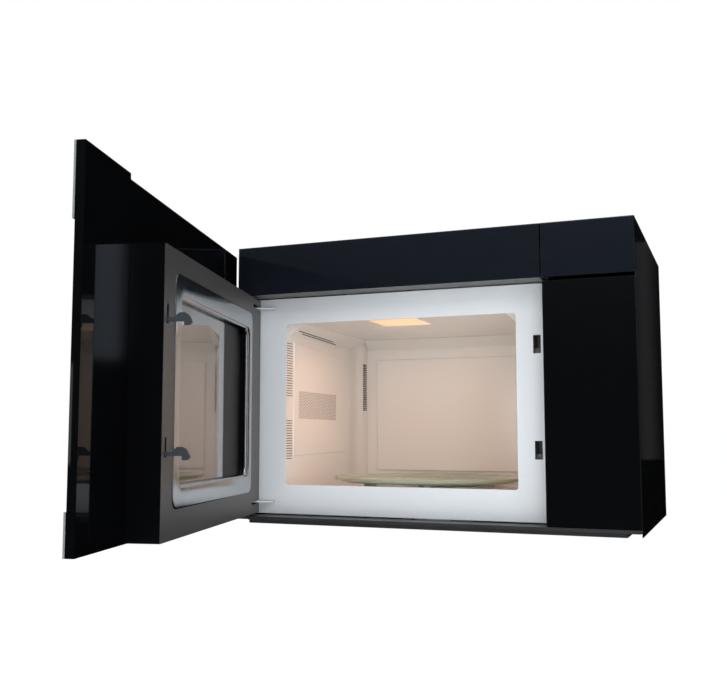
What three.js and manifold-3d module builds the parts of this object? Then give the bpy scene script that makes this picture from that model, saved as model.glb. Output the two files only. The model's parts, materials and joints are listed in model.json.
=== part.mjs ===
// Over the range microwave, 24 inch class, with its door standing open.
// Millimetres. X to the right, Y towards the wall, Z up; the front looks along -Y.
// The origin is the centre of the wall mounting plate's rear face.
import * as THREE from 'three';
import { mergeVertices } from 'three/addons/utils/BufferGeometryUtils.js';
import Module from 'manifold-3d';

const wasm = await Module();
wasm.setup();

// ---------------------------------------------------------------- driving dimensions

// Cabinet
const bodyWidth = 606;
const bodyHeight = 432;
const bodyDepth = 425;
const sheet = 1; // folded steel sheet
const gap = 0.3; // seat left between neighbouring pieces
const runningClearance = 0.06; // shaft to bore, all round
const doorRecess = 41.7; // fascia face to the white face frame
const fasciaHeight = 77.4;
const fasciaGap = 5.1; // shadow gap between fascia and control bay
const bayWidth = 125;
const baySetIn = 2; // control bay edge to the fascia's split
const splitSeam = 1.4;
const trimThickness = 2.5; // moulded front panels
const trimRounding = 2;
const endRounding = 4; // left end of the fascia, clear of the swinging door
const rearFlange = 14;
const undersideDepth = 6.2;
const undersideInset = 20;
const undersideFrontInset = 10;
const wrapperLift = 1.2; // lower edge of the wrapper over the underside
const sillThickness = 5;
const sillRounding = 3;
const fasciaFloorThickness = 1.5;
const bayFootGap = 0.5;

// Wall mounting plate
const wallPlateThickness = 2;
const wallPlateWidth = 540;
const wallPlateHeight = 320;
const wallPlateHoleRadius = 4;
const wallPlateHoleSpacing = 406.4; // studs at 16 in
const wallPlateHoleRise = 110;
const hookWidth = 26;
const hookReach = 8;
const hookLip = 10;
const hookSpacing = 360;
const hookDrop = 130;

// Face frame and oven
const frameSheet = 1.2;
const frameSillGap = 1.7;
const frameTopGap = 1.3;
const openingWidth = 367.3;
const openingHeight = 254;
const openingFromLeft = 67.2;
const openingFromBottom = 58.2;
const openingRounding = 4;
const ovenSideGrowth = 2;
const ovenRise = 2;
const ovenFloorDrop = 11.5;
const ovenDepth = 322.5;
const ovenCornerStart = 43.5; // rear corner: straight side wall ends this far from the back
const ovenCornerStep = 25;
const ovenCornerInset = 12;
const ovenCornerSecondInset = 4;
const ovenRoofBevelWidth = 20;
const ovenRoofBevelHeight = 18;
const ovenMouthDepth = 16; // square mouth in front of the roof bevels
const lampPortWidth = 86;
const lampPortDepth = 88;
const lampPortFromLeft = 124.8; // from the oven's left wall
const lampPortFromFrame = 20;
const wavePortWidth = 90;
const wavePortHeight = 50;
const wavePortFromFrame = 155;
const wavePortRise = 126; // over the oven's floor
const screenThickness = 0.8;

// Turntable
const trayRadius = 157;
const trayThickness = 5;
const trayRimHeight = 8.5;
const trayRimWidth = 16;
const rollerRadius = 6.5;
const rollerWidth = 6;
const rollerPath = 111;
const stubRadius = 2.1;
const ringWidth = 6;
const ringThickness = 4;
const rollerCount = 3;
const rollerFacets = 20;
const firstRollerAngle = -73.5;
const couplerRadius = 12;
const couplerLobe = 7;
const stemRadius = 5;
const turntableMotorRadius = 25;
const turntableMotorHeight = 16;

// Door, measured closed
const doorGap = 1.9; // fascia face to the door frame
const doorFrameDepth = 10.1;
const doorFrameWall = 2.5;
const doorFrameBack = 2.2;
const doorGlassThickness = 2.4;
const doorBottomLift = 2; // over the sill
const doorTopDrop = 0.4;
const doorStepHeight = 7;
const doorRounding = 3;
const notchDepth = 14;
const notchFromBottom = 45;
const notchHeight = 292;
const gripReach = 23; // finger pocket, from the door's edge
const gripDepth = 6.5;
const gripLip = 3; // rim of the frame left standing beside the pocket
const panFromLeft = 5.5;
const panBayGap = 4; // pan to control bay
const panHeight = 335.6;
const panLift = 3.4; // over the sill
const panFaceGap = 2; // pan to face frame, door closed
const windowWidth = 340;
const windowHeight = 228;
const windowFromPanLeft = 72.5;
const windowFromPanBottom = 57.6;
const windowReturn = 13;
const windowRounding = 3;
const bezelHingeBorder = 15;
const bezelLatchBorder = 20.5;
const bezelEdgeBorder = 23.5;
const bezelThickness = 1.1;
const bezelWall = 2;
const bezelDepth = 10.7;
const innerGlassThickness = 3;
const touchPanelWidth = 92;
const touchPanelHeight = 330;
const touchPanelClearance = 1;
const touchPanelFromBottom = 52;
const touchPanelThickness = 0.8;
const displayDepth = 5;
const displayHeight = 50;
const displayMargin = 8;

// Hinge
const openAngle = 75.7;
const pivotFromLeft = 12;
const pivotFromFrame = 14.7;
const pinRadius = 3;
const pinLength = 9;
const hingePlate = 2.5;
const hingeBossRadius = 6.5;
const hingeFootFromLeft = 30;
const hingeFootWidth = 18;
const hingeFlangeMargin = 6;
const hingeFlangeHeight = 28;
const hingeSlotClearance = 0.5;
const bushWidth = 15;
const bushDepth = 20;
const upperBushHeight = 9.5;
const lowerBushHeight = 14;
const panSlotClearance = 1.5;
const panSlotLength = 48;

// Latch
const hookFromPanEdge = 12.3;
const latchHookThickness = 4;
const latchHookPitch = 151.2;
const lowerHookFromOpening = 47.8; // nose over the opening's lower edge
const toothDepth = 4.5;
const hookShank = 5;
const hookCrown = 14.7;
const latchHookReach = 29.5;
const toothFront = 20; // pan face to the tooth
const latchBarWidth = 6;
const latchBarDepth = 6.4;
const latchBarOverrun = 10;
const latchTravel = 5;
const slotWidth = 10.7;
const slotBelowNose = 4.5;
const slotAboveNose = 21.6;
const boardWidth = 24;
const boardDepth = 32;
const boardMargin = 12;
const strikeHeight = 3.2;
const strikeLength = 6.7;
const strikeClearance = 0.8;
const guideHeight = 16;
const guideWall = 2.5;
const guideClearance = 0.5;
const switchWidth = 10;
const switchDepth = 15;
const switchHeight = 18;
const springLength = 22;
const springRadius = 3.2;
const springBore = 2.4;

// Vent and exhaust
const ductWidth = 250;
const ductDepth = 79;
const ductRise = 24;
const ductDrop = 8;
const ductFromWall = 52;
const ductFlange = 10;
const ledgeInset = 20;
const ledgeWidth = 3;
const ductHoleClearance = 2;
const flapPinRadius = 1.5;
const flapRise = 14;
const flapClearance = 2.5;
const flapHingeInset = 4;
const blowerRadius = 46;
const blowerWidth = 66;
const blowerSpacing = 180;
const blowerFromWall = 62;
const blowerRise = 51; // axis over the oven's roof
const blowerWheelRadius = 36;
const blowerWheelWidth = 52;
const blowerVaneDepth = 6;
const blowerVaneThickness = 1.4;
const blowerVaneCount = 12;
const blowerInletRadius = 30;
const blowerMotorRadius = 30;
const blowerMotorLength = 74;
const shaftRadius = 3;
const filterWidth = 166;
const filterLength = 206;
const filterSpacing = 300;
const filterFromWall = 92;
const filterLap = 8; // filter over its opening, each edge
const filterBorder = 8;
const filterMesh = 1.2; // mesh pack at the top of the filter's frame

// Electrical pieces
const magnetronWidth = 92;
const magnetronDepth = 84;
const magnetronHeight = 70;
const magnetronCore = 19;
const magnetronFinCount = 7;
const antennaRadius = 9;
const waveguideDepth = 36;
const waveguideLength = 110;
const waveguideHeight = 66;
const transformerWidth = 84;
const transformerDepth = 92;
const transformerHeight = 86;
const transformerCoilOverhang = 14;
const transformerYoke = 14;
const transformerCoilGap = 8;
const transformerFromBay = 16;
const transformerFromFrame = 16;
const capacitorWidth = 52;
const capacitorDepth = 32;
const capacitorHeight = 82;
const capacitorSpace = 20;
const tabSpacing = 18;
const tabWidth = 6;
const tabLength = 10;
const fanRadius = 46;
const fanHub = 12;
const fanBladeCount = 5;
const fanBladeChord = 22;
const fanBladeThickness = 1.6;
const fanBladePitch = 28;
const fanHubDepth = 8;
const fanTipClearance = 2.5;
const fanSheet = 1.5;
const fanRingFront = 14;
const fanRingRear = 8;
const fanArmWidth = 10;
const fanPlateSide = 104;
const fanFromWall = 78;
const fanMotorSide = 56;
const fanMotorDepth = 26;
const boardBehindCover = 17;
const boardWidthPower = 104;
const boardHeightPower = 150;
const boardThickness = 1.6;
const boardFromBay = 9;
const boardFromBayTop = 30;
const postInset = 6;
const postRadius = 3;
const relayInset = 20;
const relaySide = 19;
const supplySide = 40;
const lampHousingHeight = 36;
const bulbRadius = 11;
const glandRadius = 12;
const glandRise = 6;
const glandBore = 5;
const glandFromRight = 46;
const glandFromWall = 45;
const cooktopLensWidth = 90;
const cooktopLensDepth = 42;
const cooktopLensFromFront = 60;
const cooktopLensThickness = 2;
const cooktopLensLap = 3;
const tubeLampHalf = 24;
const tubeLampRadius = 5;
const tubeLampRise = 8; // axis over the base plate
const lampSupportWall = 2;
const charcoalWidth = 280;
const charcoalDepth = 18;
const charcoalHeight = 60;

// ---------------------------------------------------------------- planes worked out from them

const left = -bodyWidth / 2;
const right = bodyWidth / 2;
const bottom = -bodyHeight / 2;
const top = bodyHeight / 2;
const front = -bodyDepth;
const trimBack = front + trimThickness;
const backOuter = -(wallPlateThickness + gap);
const backInner = backOuter - sheet;
const frameFace = front + doorRecess;
const frameRear = frameFace + frameSheet;
const baseUnder = bottom + undersideDepth;
const baseTop = baseUnder + sheet;
const sillTop = baseUnder + sillThickness;
const fasciaBottom = top - fasciaHeight;
const bayTop = fasciaBottom - fasciaGap;
const bayLeft = right - bayWidth;
const split = bayLeft - baySetIn;
const wrapperBottom = bottom + wrapperLift;

const openingLeft = left + openingFromLeft;
const openingRight = openingLeft + openingWidth;
const openingBottom = bottom + openingFromBottom;
const openingTop = openingBottom + openingHeight;
const openingCentre = (openingLeft + openingRight) / 2;
const ovenLeft = openingLeft - ovenSideGrowth;
const ovenRight = openingRight + ovenSideGrowth;
const ovenFloor = openingBottom - ovenFloorDrop;
const ovenRoof = openingTop + ovenRise;
const ovenFront = frameRear + gap;
const ovenBack = ovenFront + ovenDepth;
const roofOutside = ovenRoof + sheet;
const trayCentre = { x: openingCentre, y: (ovenFront + ovenBack) / 2 };

const doorBack = front - doorGap;
const doorPocket = doorBack - doorFrameDepth;
const doorFace = doorPocket - gap - doorGlassThickness;
const doorBottom = sillTop + doorBottomLift;
const doorTop = top - doorTopDrop;
const doorStepTop = doorTop - doorStepHeight;
const panLeft = left + panFromLeft;
const panRight = bayLeft - panBayGap;
const panBottom = sillTop + panLift;
const panTop = panBottom + panHeight;
const panFace = frameFace - panFaceGap;
const panFront = doorBack + gap;
const windowLeft = panLeft + windowFromPanLeft;
const windowBottom = panBottom + windowFromPanBottom;
const pivot = { x: left + pivotFromLeft, y: frameFace - pivotFromFrame };
const upperPlateTop = panTop - sheet - gap - upperBushHeight - gap;
const lowerPlateBottom = panBottom + sheet + gap + lowerBushHeight + gap;
const hookX = panRight - hookFromPanEdge;
const lowerNose = openingBottom + lowerHookFromOpening;
const hookNoses = [lowerNose, lowerNose + latchHookPitch];

// ---------------------------------------------------------------- shape helpers

const radians = THREE.MathUtils.degToRad;

// A closed mesh with shared corners, as the boolean library wants it.
function toSolid(geometry) {
  const bare = geometry.clone();
  bare.deleteAttribute('normal');
  bare.deleteAttribute('uv');
  const merged = mergeVertices(bare);
  const index = merged.index.array;
  const triangles = [];
  for (let i = 0; i < index.length; i += 3) {
    const [a, b, c] = [index[i], index[i + 1], index[i + 2]];
    if (a !== b && b !== c && c !== a) triangles.push(a, b, c);
  }
  const mesh = new wasm.Mesh({
    numProp: 3,
    vertProperties: Float32Array.from(merged.attributes.position.array),
    triVerts: Uint32Array.from(triangles),
  });
  return new wasm.Manifold(mesh);
}

function toGeometry(solid) {
  const mesh = solid.getMesh();
  const geometry = new THREE.BufferGeometry();
  geometry.setAttribute('position', new THREE.BufferAttribute(mesh.vertProperties, 3));
  geometry.setIndex(new THREE.BufferAttribute(mesh.triVerts, 1));
  return geometry;
}

const join = (...parts) => toGeometry(parts.map(toSolid).reduce((a, b) => a.add(b)));
const cut = (body, ...tools) => toGeometry(tools.map(toSolid).reduce((a, b) => a.subtract(b), toSolid(body)));
const common = (a, b) => toGeometry(toSolid(a).intersect(toSolid(b)));

// A block between two limits on each axis.
function block(x0, x1, y0, y1, z0, z1) {
  const geometry = new THREE.BoxGeometry(x1 - x0, y1 - y0, z1 - z0);
  return geometry.translate((x0 + x1) / 2, (y0 + y1) / 2, (z0 + z1) / 2);
}

function shapeOf(outline) {
  if (outline instanceof THREE.Shape) return outline;
  return new THREE.Shape(outline.map(([a, b]) => new THREE.Vector2(a, b)));
}

const cornerSteps = 2;
const scrollSteps = 9;

function extruded(outline, length, curveSegments = cornerSteps) {
  const settings = { depth: length, bevelEnabled: false, curveSegments };
  return new THREE.ExtrudeGeometry(shapeOf(outline), settings);
}

// An outline in X and Y, raised from z0 to z1.
function prismZ(outline, z0, z1, steps) {
  return extruded(outline, z1 - z0, steps).translate(0, 0, z0);
}

// An outline in X and Z, run from y0 to y1.
function prismY(outline, y0, y1) {
  return extruded(outline, y1 - y0).rotateX(Math.PI / 2).translate(0, y1, 0);
}

// An outline in Y and Z, run from x0 to x1.
function prismX(outline, x0, x1, steps) {
  return extruded(outline, x1 - x0, steps).rotateX(Math.PI / 2).rotateZ(Math.PI / 2).translate(x0, 0, 0);
}

// A rectangle with round corners.
function roundedRect(a0, a1, b0, b1, radius) {
  const shape = new THREE.Shape();
  shape.moveTo(a0 + radius, b0);
  shape.lineTo(a1 - radius, b0);
  shape.absarc(a1 - radius, b0 + radius, radius, -Math.PI / 2, 0);
  shape.lineTo(a1, b1 - radius);
  shape.absarc(a1 - radius, b1 - radius, radius, 0, Math.PI / 2);
  shape.lineTo(a0 + radius, b1);
  shape.absarc(a0 + radius, b1 - radius, radius, Math.PI / 2, Math.PI);
  shape.lineTo(a0, b0 + radius);
  shape.absarc(a0 + radius, b0 + radius, radius, Math.PI, Math.PI * 1.5);
  return shape;
}

const towards = {
  x: geometry => geometry.rotateZ(-Math.PI / 2),
  y: geometry => geometry,
  z: geometry => geometry.rotateX(Math.PI / 2),
};

// A profile of [radius, height] points turned about an axis through `at`.
function turned(profile, axis, at, segments = 32) {
  const points = profile.map(([r, h]) => new THREE.Vector2(r, h));
  return towards[axis](new THREE.LatheGeometry(points, segments)).translate(at.x, at.y, at.z);
}

function rod(axis, at, radius, from, to, segments = 24) {
  return turned([[0, from], [radius, from], [radius, to], [0, to]], axis, at, segments);
}

// Least radius for the corners of a bore that a shaft turns in, whatever way the facets meet.
function boreFor(shaft, segments) {
  return (shaft + runningClearance) / Math.cos(Math.PI / segments);
}

function sleeve(axis, at, bore, radius, from, to, segments = 24) {
  const profile = [[bore, from], [radius, from], [radius, to], [bore, to], [bore, from]];
  return turned(profile, axis, at, segments);
}

// Two blocks, one inside the other, as a shell that is open where they both reach.
function shell(outer, inner, ...more) {
  return cut(block(...outer), block(...inner), ...more);
}

// ---------------------------------------------------------------- finishes

const finishes = {
  blackGloss: { color: 0x0c0e12, roughness: 0.12, metalness: 0.0 },
  blackFascia: { color: 0x1a1e27, roughness: 0.15, metalness: 0.0 },
  blackPlastic: { color: 0x141518, roughness: 0.5, metalness: 0.0 },
  greyPlastic: { color: 0x5c6064, roughness: 0.5, metalness: 0.0 },
  whiteEnamel: { color: 0xd9dfe3, roughness: 0.25, metalness: 0.0 },
  ovenEnamel: { color: 0xd5c8bb, roughness: 0.3, metalness: 0.0 },
  panGrey: { color: 0x585655, roughness: 0.45, metalness: 0.1 },
  silverTrim: { color: 0xb9bcc0, roughness: 0.2, metalness: 0.8 },
  steel: { color: 0xa7abaf, roughness: 0.4, metalness: 0.9 },
  darkSteel: { color: 0x3b3e42, roughness: 0.45, metalness: 0.8 },
  aluminium: { color: 0xc3c6c9, roughness: 0.35, metalness: 0.9 },
  copper: { color: 0xa8602f, roughness: 0.35, metalness: 0.9 },
  clearGlass: { color: 0xb9c7b6, roughness: 0.05, metalness: 0.0 },
  blackGlass: { color: 0x060708, roughness: 0.04, metalness: 0.0 },
  whitePlastic: { color: 0xe9ebec, roughness: 0.5, metalness: 0.0 },
  lampGlow: { color: 0xffc46b, roughness: 0.4, metalness: 0.0 },
  mica: { color: 0xb7ae98, roughness: 0.6, metalness: 0.0 },
  boardGreen: { color: 0x2f5a3c, roughness: 0.6, metalness: 0.0 },
  carbon: { color: 0x202225, roughness: 0.95, metalness: 0.0 },
};

const materials = {};
for (const [name, look] of Object.entries(finishes)) {
  materials[name] = new THREE.MeshStandardMaterial(look);
  materials[name].name = name;
}

function piece(parent, name, geometry, finish) {
  const mesh = new THREE.Mesh(geometry, materials[finish]);
  mesh.name = name;
  parent.add(mesh);
  return mesh;
}

// ---------------------------------------------------------------- cabinet shells

const glandPlace = { x: right - glandFromRight, y: -glandFromWall };
const duct = {
  x0: -ductWidth / 2,
  x1: ductWidth / 2,
  y0: -ductFromWall - ductDepth / 2,
  y1: -ductFromWall + ductDepth / 2,
};
const filterCentres = [-filterSpacing / 2, filterSpacing / 2];
const filterRear = -filterFromWall;
const filterFront = filterRear - filterLength;
const lensFront = front + cooktopLensFromFront;

// Top and both sides, with a flange folded in at the rear. The left side stops at the face frame
// where the door swings.
function outerWrapper() {
  const rearEdge = backInner - gap;
  const hollowTop = top - sheet;
  const walls = shell(
    [left, right, trimBack + gap, rearEdge, wrapperBottom, top],
    [left + sheet, right - sheet, front, 0, bottom - 1, hollowTop],
  );
  const inner = sheet + rearFlange;
  const flange = shell(
    [left + sheet / 2, right - sheet / 2, rearEdge - sheet, rearEdge, wrapperBottom, top - sheet / 2],
    [left + inner, right - inner, front, 0, bottom - 1, top - inner],
  );
  const doorNotch = block(left - 1, left + sheet + 1, front, frameRear + gap, bottom, fasciaBottom - gap);
  const c = ductHoleClearance;
  const ductHole = block(duct.x0 - c, duct.x1 + c, duct.y0 - c, duct.y1 + c, hollowTop - 1, top + 1);
  const glandHole = rod('z', { ...glandPlace, z: 0 }, glandRadius - 2, hollowTop - 1, top + 1);
  return cut(join(walls, flange), doorNotch, ductHole, glandHole);
}

const hookSlotPlaces = [-hookSpacing / 2, hookSpacing / 2];

function backPlate() {
  const inset = sheet + gap;
  const plate = block(left + inset, right - inset, backInner, backOuter, bottom + undersideDepth, top - inset);
  const slots = hookSlotPlaces.map(x => block(
    x - hookWidth / 2 - 1, x + hookWidth / 2 + 1, backInner - 1, backOuter + 1,
    -hookDrop - 1, -hookDrop + hookLip + wallPlateThickness + 2,
  ));
  return cut(plate, ...slots);
}

// The plate that is screwed to the wall; two hooks carry the back plate.
function wallPlate() {
  const plate = block(
    -wallPlateWidth / 2, wallPlateWidth / 2, -wallPlateThickness, 0, -wallPlateHeight / 2, wallPlateHeight / 2,
  );
  const hooks = hookSlotPlaces.flatMap(x => {
    const [x0, x1] = [x - hookWidth / 2, x + hookWidth / 2];
    const reach = -wallPlateThickness - hookReach;
    const lipTop = -hookDrop + hookLip;
    return [
      block(x0, x1, reach, -wallPlateThickness / 2, -hookDrop, -hookDrop + wallPlateThickness),
      block(x0, x1, reach, reach + wallPlateThickness, -hookDrop, lipTop),
    ];
  });
  const holes = [-1, 1].flatMap(side => [-1, 1].map(row => rod(
    'y', { x: side * wallPlateHoleSpacing / 2, y: 0, z: row * wallPlateHoleRise },
    wallPlateHoleRadius, -wallPlateThickness - 1, 1, 16,
  )));
  return cut(join(plate, ...hooks), ...holes);
}

function basePlate() {
  const inset = sheet + gap;
  const rear = backInner - gap - sheet - gap;
  const plate = block(left + inset, right - inset, frameRear + gap, rear, baseUnder, baseTop);
  const intakes = filterCentres.map(x => block(
    x - filterWidth / 2 + filterLap, x + filterWidth / 2 - filterLap,
    filterFront + filterLap, filterRear - filterLap, baseUnder - 1, baseTop + 1,
  ));
  const lampHole = block(
    -cooktopLensWidth / 2, cooktopLensWidth / 2, lensFront, lensFront + cooktopLensDepth,
    baseUnder - 1, baseTop + 1,
  );
  return cut(plate, ...intakes, lampHole);
}

// Shallow pan under the cabinet that holds the two filters and the cooktop lens.
function hoodUnderside() {
  const x0 = left + undersideInset;
  const x1 = right - undersideInset;
  const y0 = front + undersideFrontInset;
  const y1 = backInner - undersideFrontInset;
  const rim = baseUnder - gap;
  const filterHoles = filterCentres.map(x => block(
    x - filterWidth / 2 + filterLap, x + filterWidth / 2 - filterLap,
    filterFront + filterLap, filterRear - filterLap, bottom - 1, bottom + sheet + 1,
  ));
  const lap = cooktopLensLap;
  const lensHole = block(
    -cooktopLensWidth / 2 + lap, cooktopLensWidth / 2 - lap,
    lensFront + lap, lensFront + cooktopLensDepth - lap,
    bottom - 1, bottom + sheet + 1,
  );
  const pan = shell(
    [x0, x1, y0, y1, bottom, rim],
    [x0 + sheet, x1 - sheet, y0 + sheet, y1 - sheet, bottom + sheet, rim + 1],
  );
  return cut(pan, ...filterHoles, lensHole);
}

function greaseFilter(x) {
  const low = bottom + sheet + gap;
  const high = baseUnder - gap;
  const b = filterBorder;
  const [x0, x1] = [x - filterWidth / 2, x + filterWidth / 2];
  return cut(
    block(x0, x1, filterFront, filterRear, low, high),
    block(x0 + b, x1 - b, filterFront + b, filterRear - b, low - 1, high - filterMesh),
  );
}

function cooktopLens() {
  const low = bottom + sheet + gap;
  const half = cooktopLensWidth / 2;
  return block(-half, half, lensFront, lensFront + cooktopLensDepth, low, low + cooktopLensThickness);
}

// Festoon lamp in two clips, hanging from a small bridge over the lens.
function cooktopLamp() {
  const y = lensFront + cooktopLensDepth / 2;
  const z = baseTop + tubeLampRise;
  const clip = tubeLampRadius + 1;
  const wall = lampSupportWall;
  const end = tubeLampHalf + wall;
  const reach = cooktopLensDepth / 2 + clip;
  const bulb = rod('x', { x: 0, y, z }, tubeLampRadius, -tubeLampHalf, tubeLampHalf, 16);
  const clips = [-1, 1].map(side => block(
    side * tubeLampHalf - wall, side * tubeLampHalf + wall, y - clip, y + clip, z - clip, z + clip,
  ));
  const bridge = block(-end, end, y - reach, y + reach, z + tubeLampRadius, z + clip + 1);
  const feet = [-1, 1].map(side => block(
    -end, end, y + side * reach - wall / 2, y + side * reach + wall / 2, baseTop + gap, z + clip + 1,
  ));
  return join(bulb, bridge, ...feet, ...clips);
}

// ---------------------------------------------------------------- front panels

// Moulded panel with a rounded upper front edge and a flange that reaches back under the wrapper.
function fasciaPanel(x0, x1) {
  const flangeTop = top - sheet - gap;
  const r = trimRounding;
  const outline = new THREE.Shape();
  outline.moveTo(front, fasciaBottom);
  outline.lineTo(trimBack, fasciaBottom);
  outline.lineTo(trimBack, flangeTop - trimThickness);
  outline.lineTo(frameFace, flangeTop - trimThickness);
  outline.lineTo(frameFace, flangeTop);
  outline.lineTo(trimBack, flangeTop);
  outline.lineTo(trimBack, top);
  outline.lineTo(front + r, top);
  outline.absarc(front + r, top - r, r, Math.PI / 2, Math.PI);
  const inset = sheet + gap;
  const plan = roundedRect(left, right + bodyWidth, front, frameFace + 2 * endRounding, endRounding);
  const face = common(prismX(outline, x0, x1), prismZ(plan, fasciaBottom - 1, top + 1, 2 * cornerSteps));
  const sides = [[left - 1, left + inset], [right - inset, right + 1]].map(([a, b]) => block(
    a, b, trimBack, frameFace + 1, fasciaBottom - 1, top - sheet,
  ));
  return cut(face, ...sides);
}

function fasciaFloor() {
  const inset = sheet + gap;
  return block(
    left + inset, split - splitSeam, trimBack + gap, frameFace - gap,
    fasciaBottom, fasciaBottom + fasciaFloorThickness,
  );
}

// Plain panel that closes the bay, with a side wall that faces the door opening.
function controlBayCover() {
  const inset = sheet + gap;
  const z0 = sillTop + bayFootGap;
  const face = prismZ(roundedRect(bayLeft, right, front, trimBack, trimThickness / 3), z0, bayTop);
  const overlap = trimThickness / 2;
  const wall = block(bayLeft, bayLeft + trimThickness, trimBack - overlap, frameFace - gap, z0, bayTop);
  const roof = block(
    bayLeft, right - inset, trimBack - overlap, frameFace - gap, bayTop - trimThickness, bayTop,
  );
  const farWall = block(right - inset - 2, right - inset, trimBack - overlap, trimBack + 14, z0, bayTop);
  return join(face, wall, roof, farWall);
}

function sillTrim() {
  const r = sillRounding;
  const shape = new THREE.Shape();
  shape.moveTo(left + r, baseUnder);
  shape.lineTo(right - r, baseUnder);
  shape.absarc(right - r, baseUnder + r, r, -Math.PI / 2, 0);
  shape.lineTo(right, sillTop);
  shape.lineTo(left, sillTop);
  shape.lineTo(left, baseUnder + r);
  shape.absarc(left + r, baseUnder + r, r, Math.PI, Math.PI * 1.5);
  const bar = prismY(shape, front, frameFace - gap);
  const inset = sheet + gap;
  const besideWrapper = block(right - inset, right + 1, trimBack, frameFace, baseUnder - 1, sillTop + 1);
  return cut(bar, besideWrapper);
}

function charcoalFilter() {
  const x0 = left + openingFromLeft;
  const y0 = trimBack + gap + 4;
  const z0 = fasciaBottom + fasciaFloorThickness + gap;
  const rim = 6;
  const [x1, y1, z1] = [x0 + charcoalWidth, y0 + charcoalDepth, z0 + charcoalHeight];
  return cut(
    block(x0, x1, y0, y1, z0, z1),
    block(x0 + rim, x1 - rim, y0 - 1, y0 + 2, z0 + rim, z1 - rim),
    block(x0 + rim, x1 - rim, y1 - 2, y1 + 1, z0 + rim, z1 - rim),
  );
}

// ---------------------------------------------------------------- face frame and oven

const upperPlate = [upperPlateTop - hingePlate, upperPlateTop];
const lowerPlate = [lowerPlateBottom, lowerPlateBottom + hingePlate];
const hingeFoot = [left + hingeFootFromLeft, left + hingeFootFromLeft + hingeFootWidth];

function frontFrame() {
  const z0 = sillTop + frameSillGap;
  const z1 = fasciaBottom - frameTopGap;
  const x1 = bayLeft - gap;
  const plate = block(left, x1, frameFace, frameRear, z0, z1);
  const hem = 8;
  const topHem = block(left + sheet, x1, frameRear - frameSheet / 2, frameRear + hem, z1 - frameSheet, z1);
  const opening = prismY(
    roundedRect(openingLeft, openingRight, openingBottom, openingTop, openingRounding),
    frameFace - 1, frameRear + 1,
  );
  const latchSlots = hookNoses.map(nose => block(
    hookX - slotWidth / 2, hookX + slotWidth / 2, frameFace - 1, frameRear + 1,
    nose - slotBelowNose, nose + slotAboveNose,
  ));
  const c = hingeSlotClearance;
  const hingeSlots = [upperPlate, lowerPlate].map(([low, high]) => block(
    hingeFoot[0] - c, hingeFoot[1] + c, frameFace - 1, frameRear + 1, low - c, high + c,
  ));
  return cut(join(plate, topHem), opening, ...latchSlots, ...hingeSlots);
}

// Oven form in plan, grown outwards by the wall: straight sides, then two facets into each rear corner.
// The roof's long edges are bevelled behind the square mouth.
function ovenForm(grow, frontEdge) {
  const x0 = ovenLeft - grow;
  const x1 = ovenRight + grow;
  const y1 = ovenBack + grow;
  const first = ovenCornerInset;
  const second = first + ovenCornerSecondInset;
  const cornerStart = ovenBack - ovenCornerStart;
  const plan = [
    [x0, frontEdge], [x1, frontEdge], [x1, cornerStart], [x1 - first, ovenBack - ovenCornerStep],
    [x1 - second, y1], [x0 + second, y1], [x0 + first, ovenBack - ovenCornerStep], [x0, cornerStart],
  ];
  const z0 = ovenFloor - grow;
  const z1 = ovenRoof + grow;
  const elevation = [
    [x0, z0], [x1, z0], [x1, z1 - ovenRoofBevelHeight], [x1 - ovenRoofBevelWidth, z1],
    [x0 + ovenRoofBevelWidth, z1], [x0, z1 - ovenRoofBevelHeight],
  ];
  const bevelled = common(prismZ(plan, z0, z1), prismY(elevation, frontEdge, y1));
  return join(bevelled, block(x0, x1, frontEdge, ovenFront + ovenMouthDepth + grow, z0, z1));
}

const lampPort = {
  x0: ovenLeft + lampPortFromLeft,
  x1: ovenLeft + lampPortFromLeft + lampPortWidth,
  y0: frameFace + lampPortFromFrame,
  y1: frameFace + lampPortFromFrame + lampPortDepth,
};
const wavePort = {
  y0: frameFace + wavePortFromFrame - wavePortWidth / 2,
  y1: frameFace + wavePortFromFrame + wavePortWidth / 2,
  z0: ovenFloor + wavePortRise - wavePortHeight / 2,
  z1: ovenFloor + wavePortRise + wavePortHeight / 2,
};

function ovenCavity() {
  const roofHole = block(lampPort.x0, lampPort.x1, lampPort.y0, lampPort.y1, ovenRoof - 1, roofOutside + 1);
  const waveHole = block(
    ovenRight - 1, ovenRight + sheet + 1, wavePort.y0, wavePort.y1, wavePort.z0, wavePort.z1,
  );
  const stemHole = rod(
    'z', { ...trayCentre, z: 0 }, stemRadius + 1.5, ovenFloor - sheet - 1, ovenFloor + 1,
  );
  return cut(ovenForm(sheet, ovenFront), ovenForm(0, ovenFront - 1), roofHole, waveHole, stemHole);
}

function lampScreen() {
  const lap = 5;
  const low = roofOutside + gap;
  return block(
    lampPort.x0 - lap, lampPort.x1 + lap, lampPort.y0 - lap, lampPort.y1 + lap, low, low + screenThickness,
  );
}

const lampHousingLow = roofOutside + gap + screenThickness + gap;

function lampHousing() {
  const lap = 5;
  const x0 = lampPort.x0 - lap;
  const x1 = lampPort.x1 + lap;
  const y0 = lampPort.y0 - lap;
  const y1 = lampPort.y1 + lap;
  const z1 = lampHousingLow + lampHousingHeight;
  return shell(
    [x0, x1, y0, y1, lampHousingLow, z1],
    [x0 + sheet, x1 - sheet, y0 + sheet, y1 - sheet, lampHousingLow - 1, z1 - sheet],
  );
}

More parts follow.
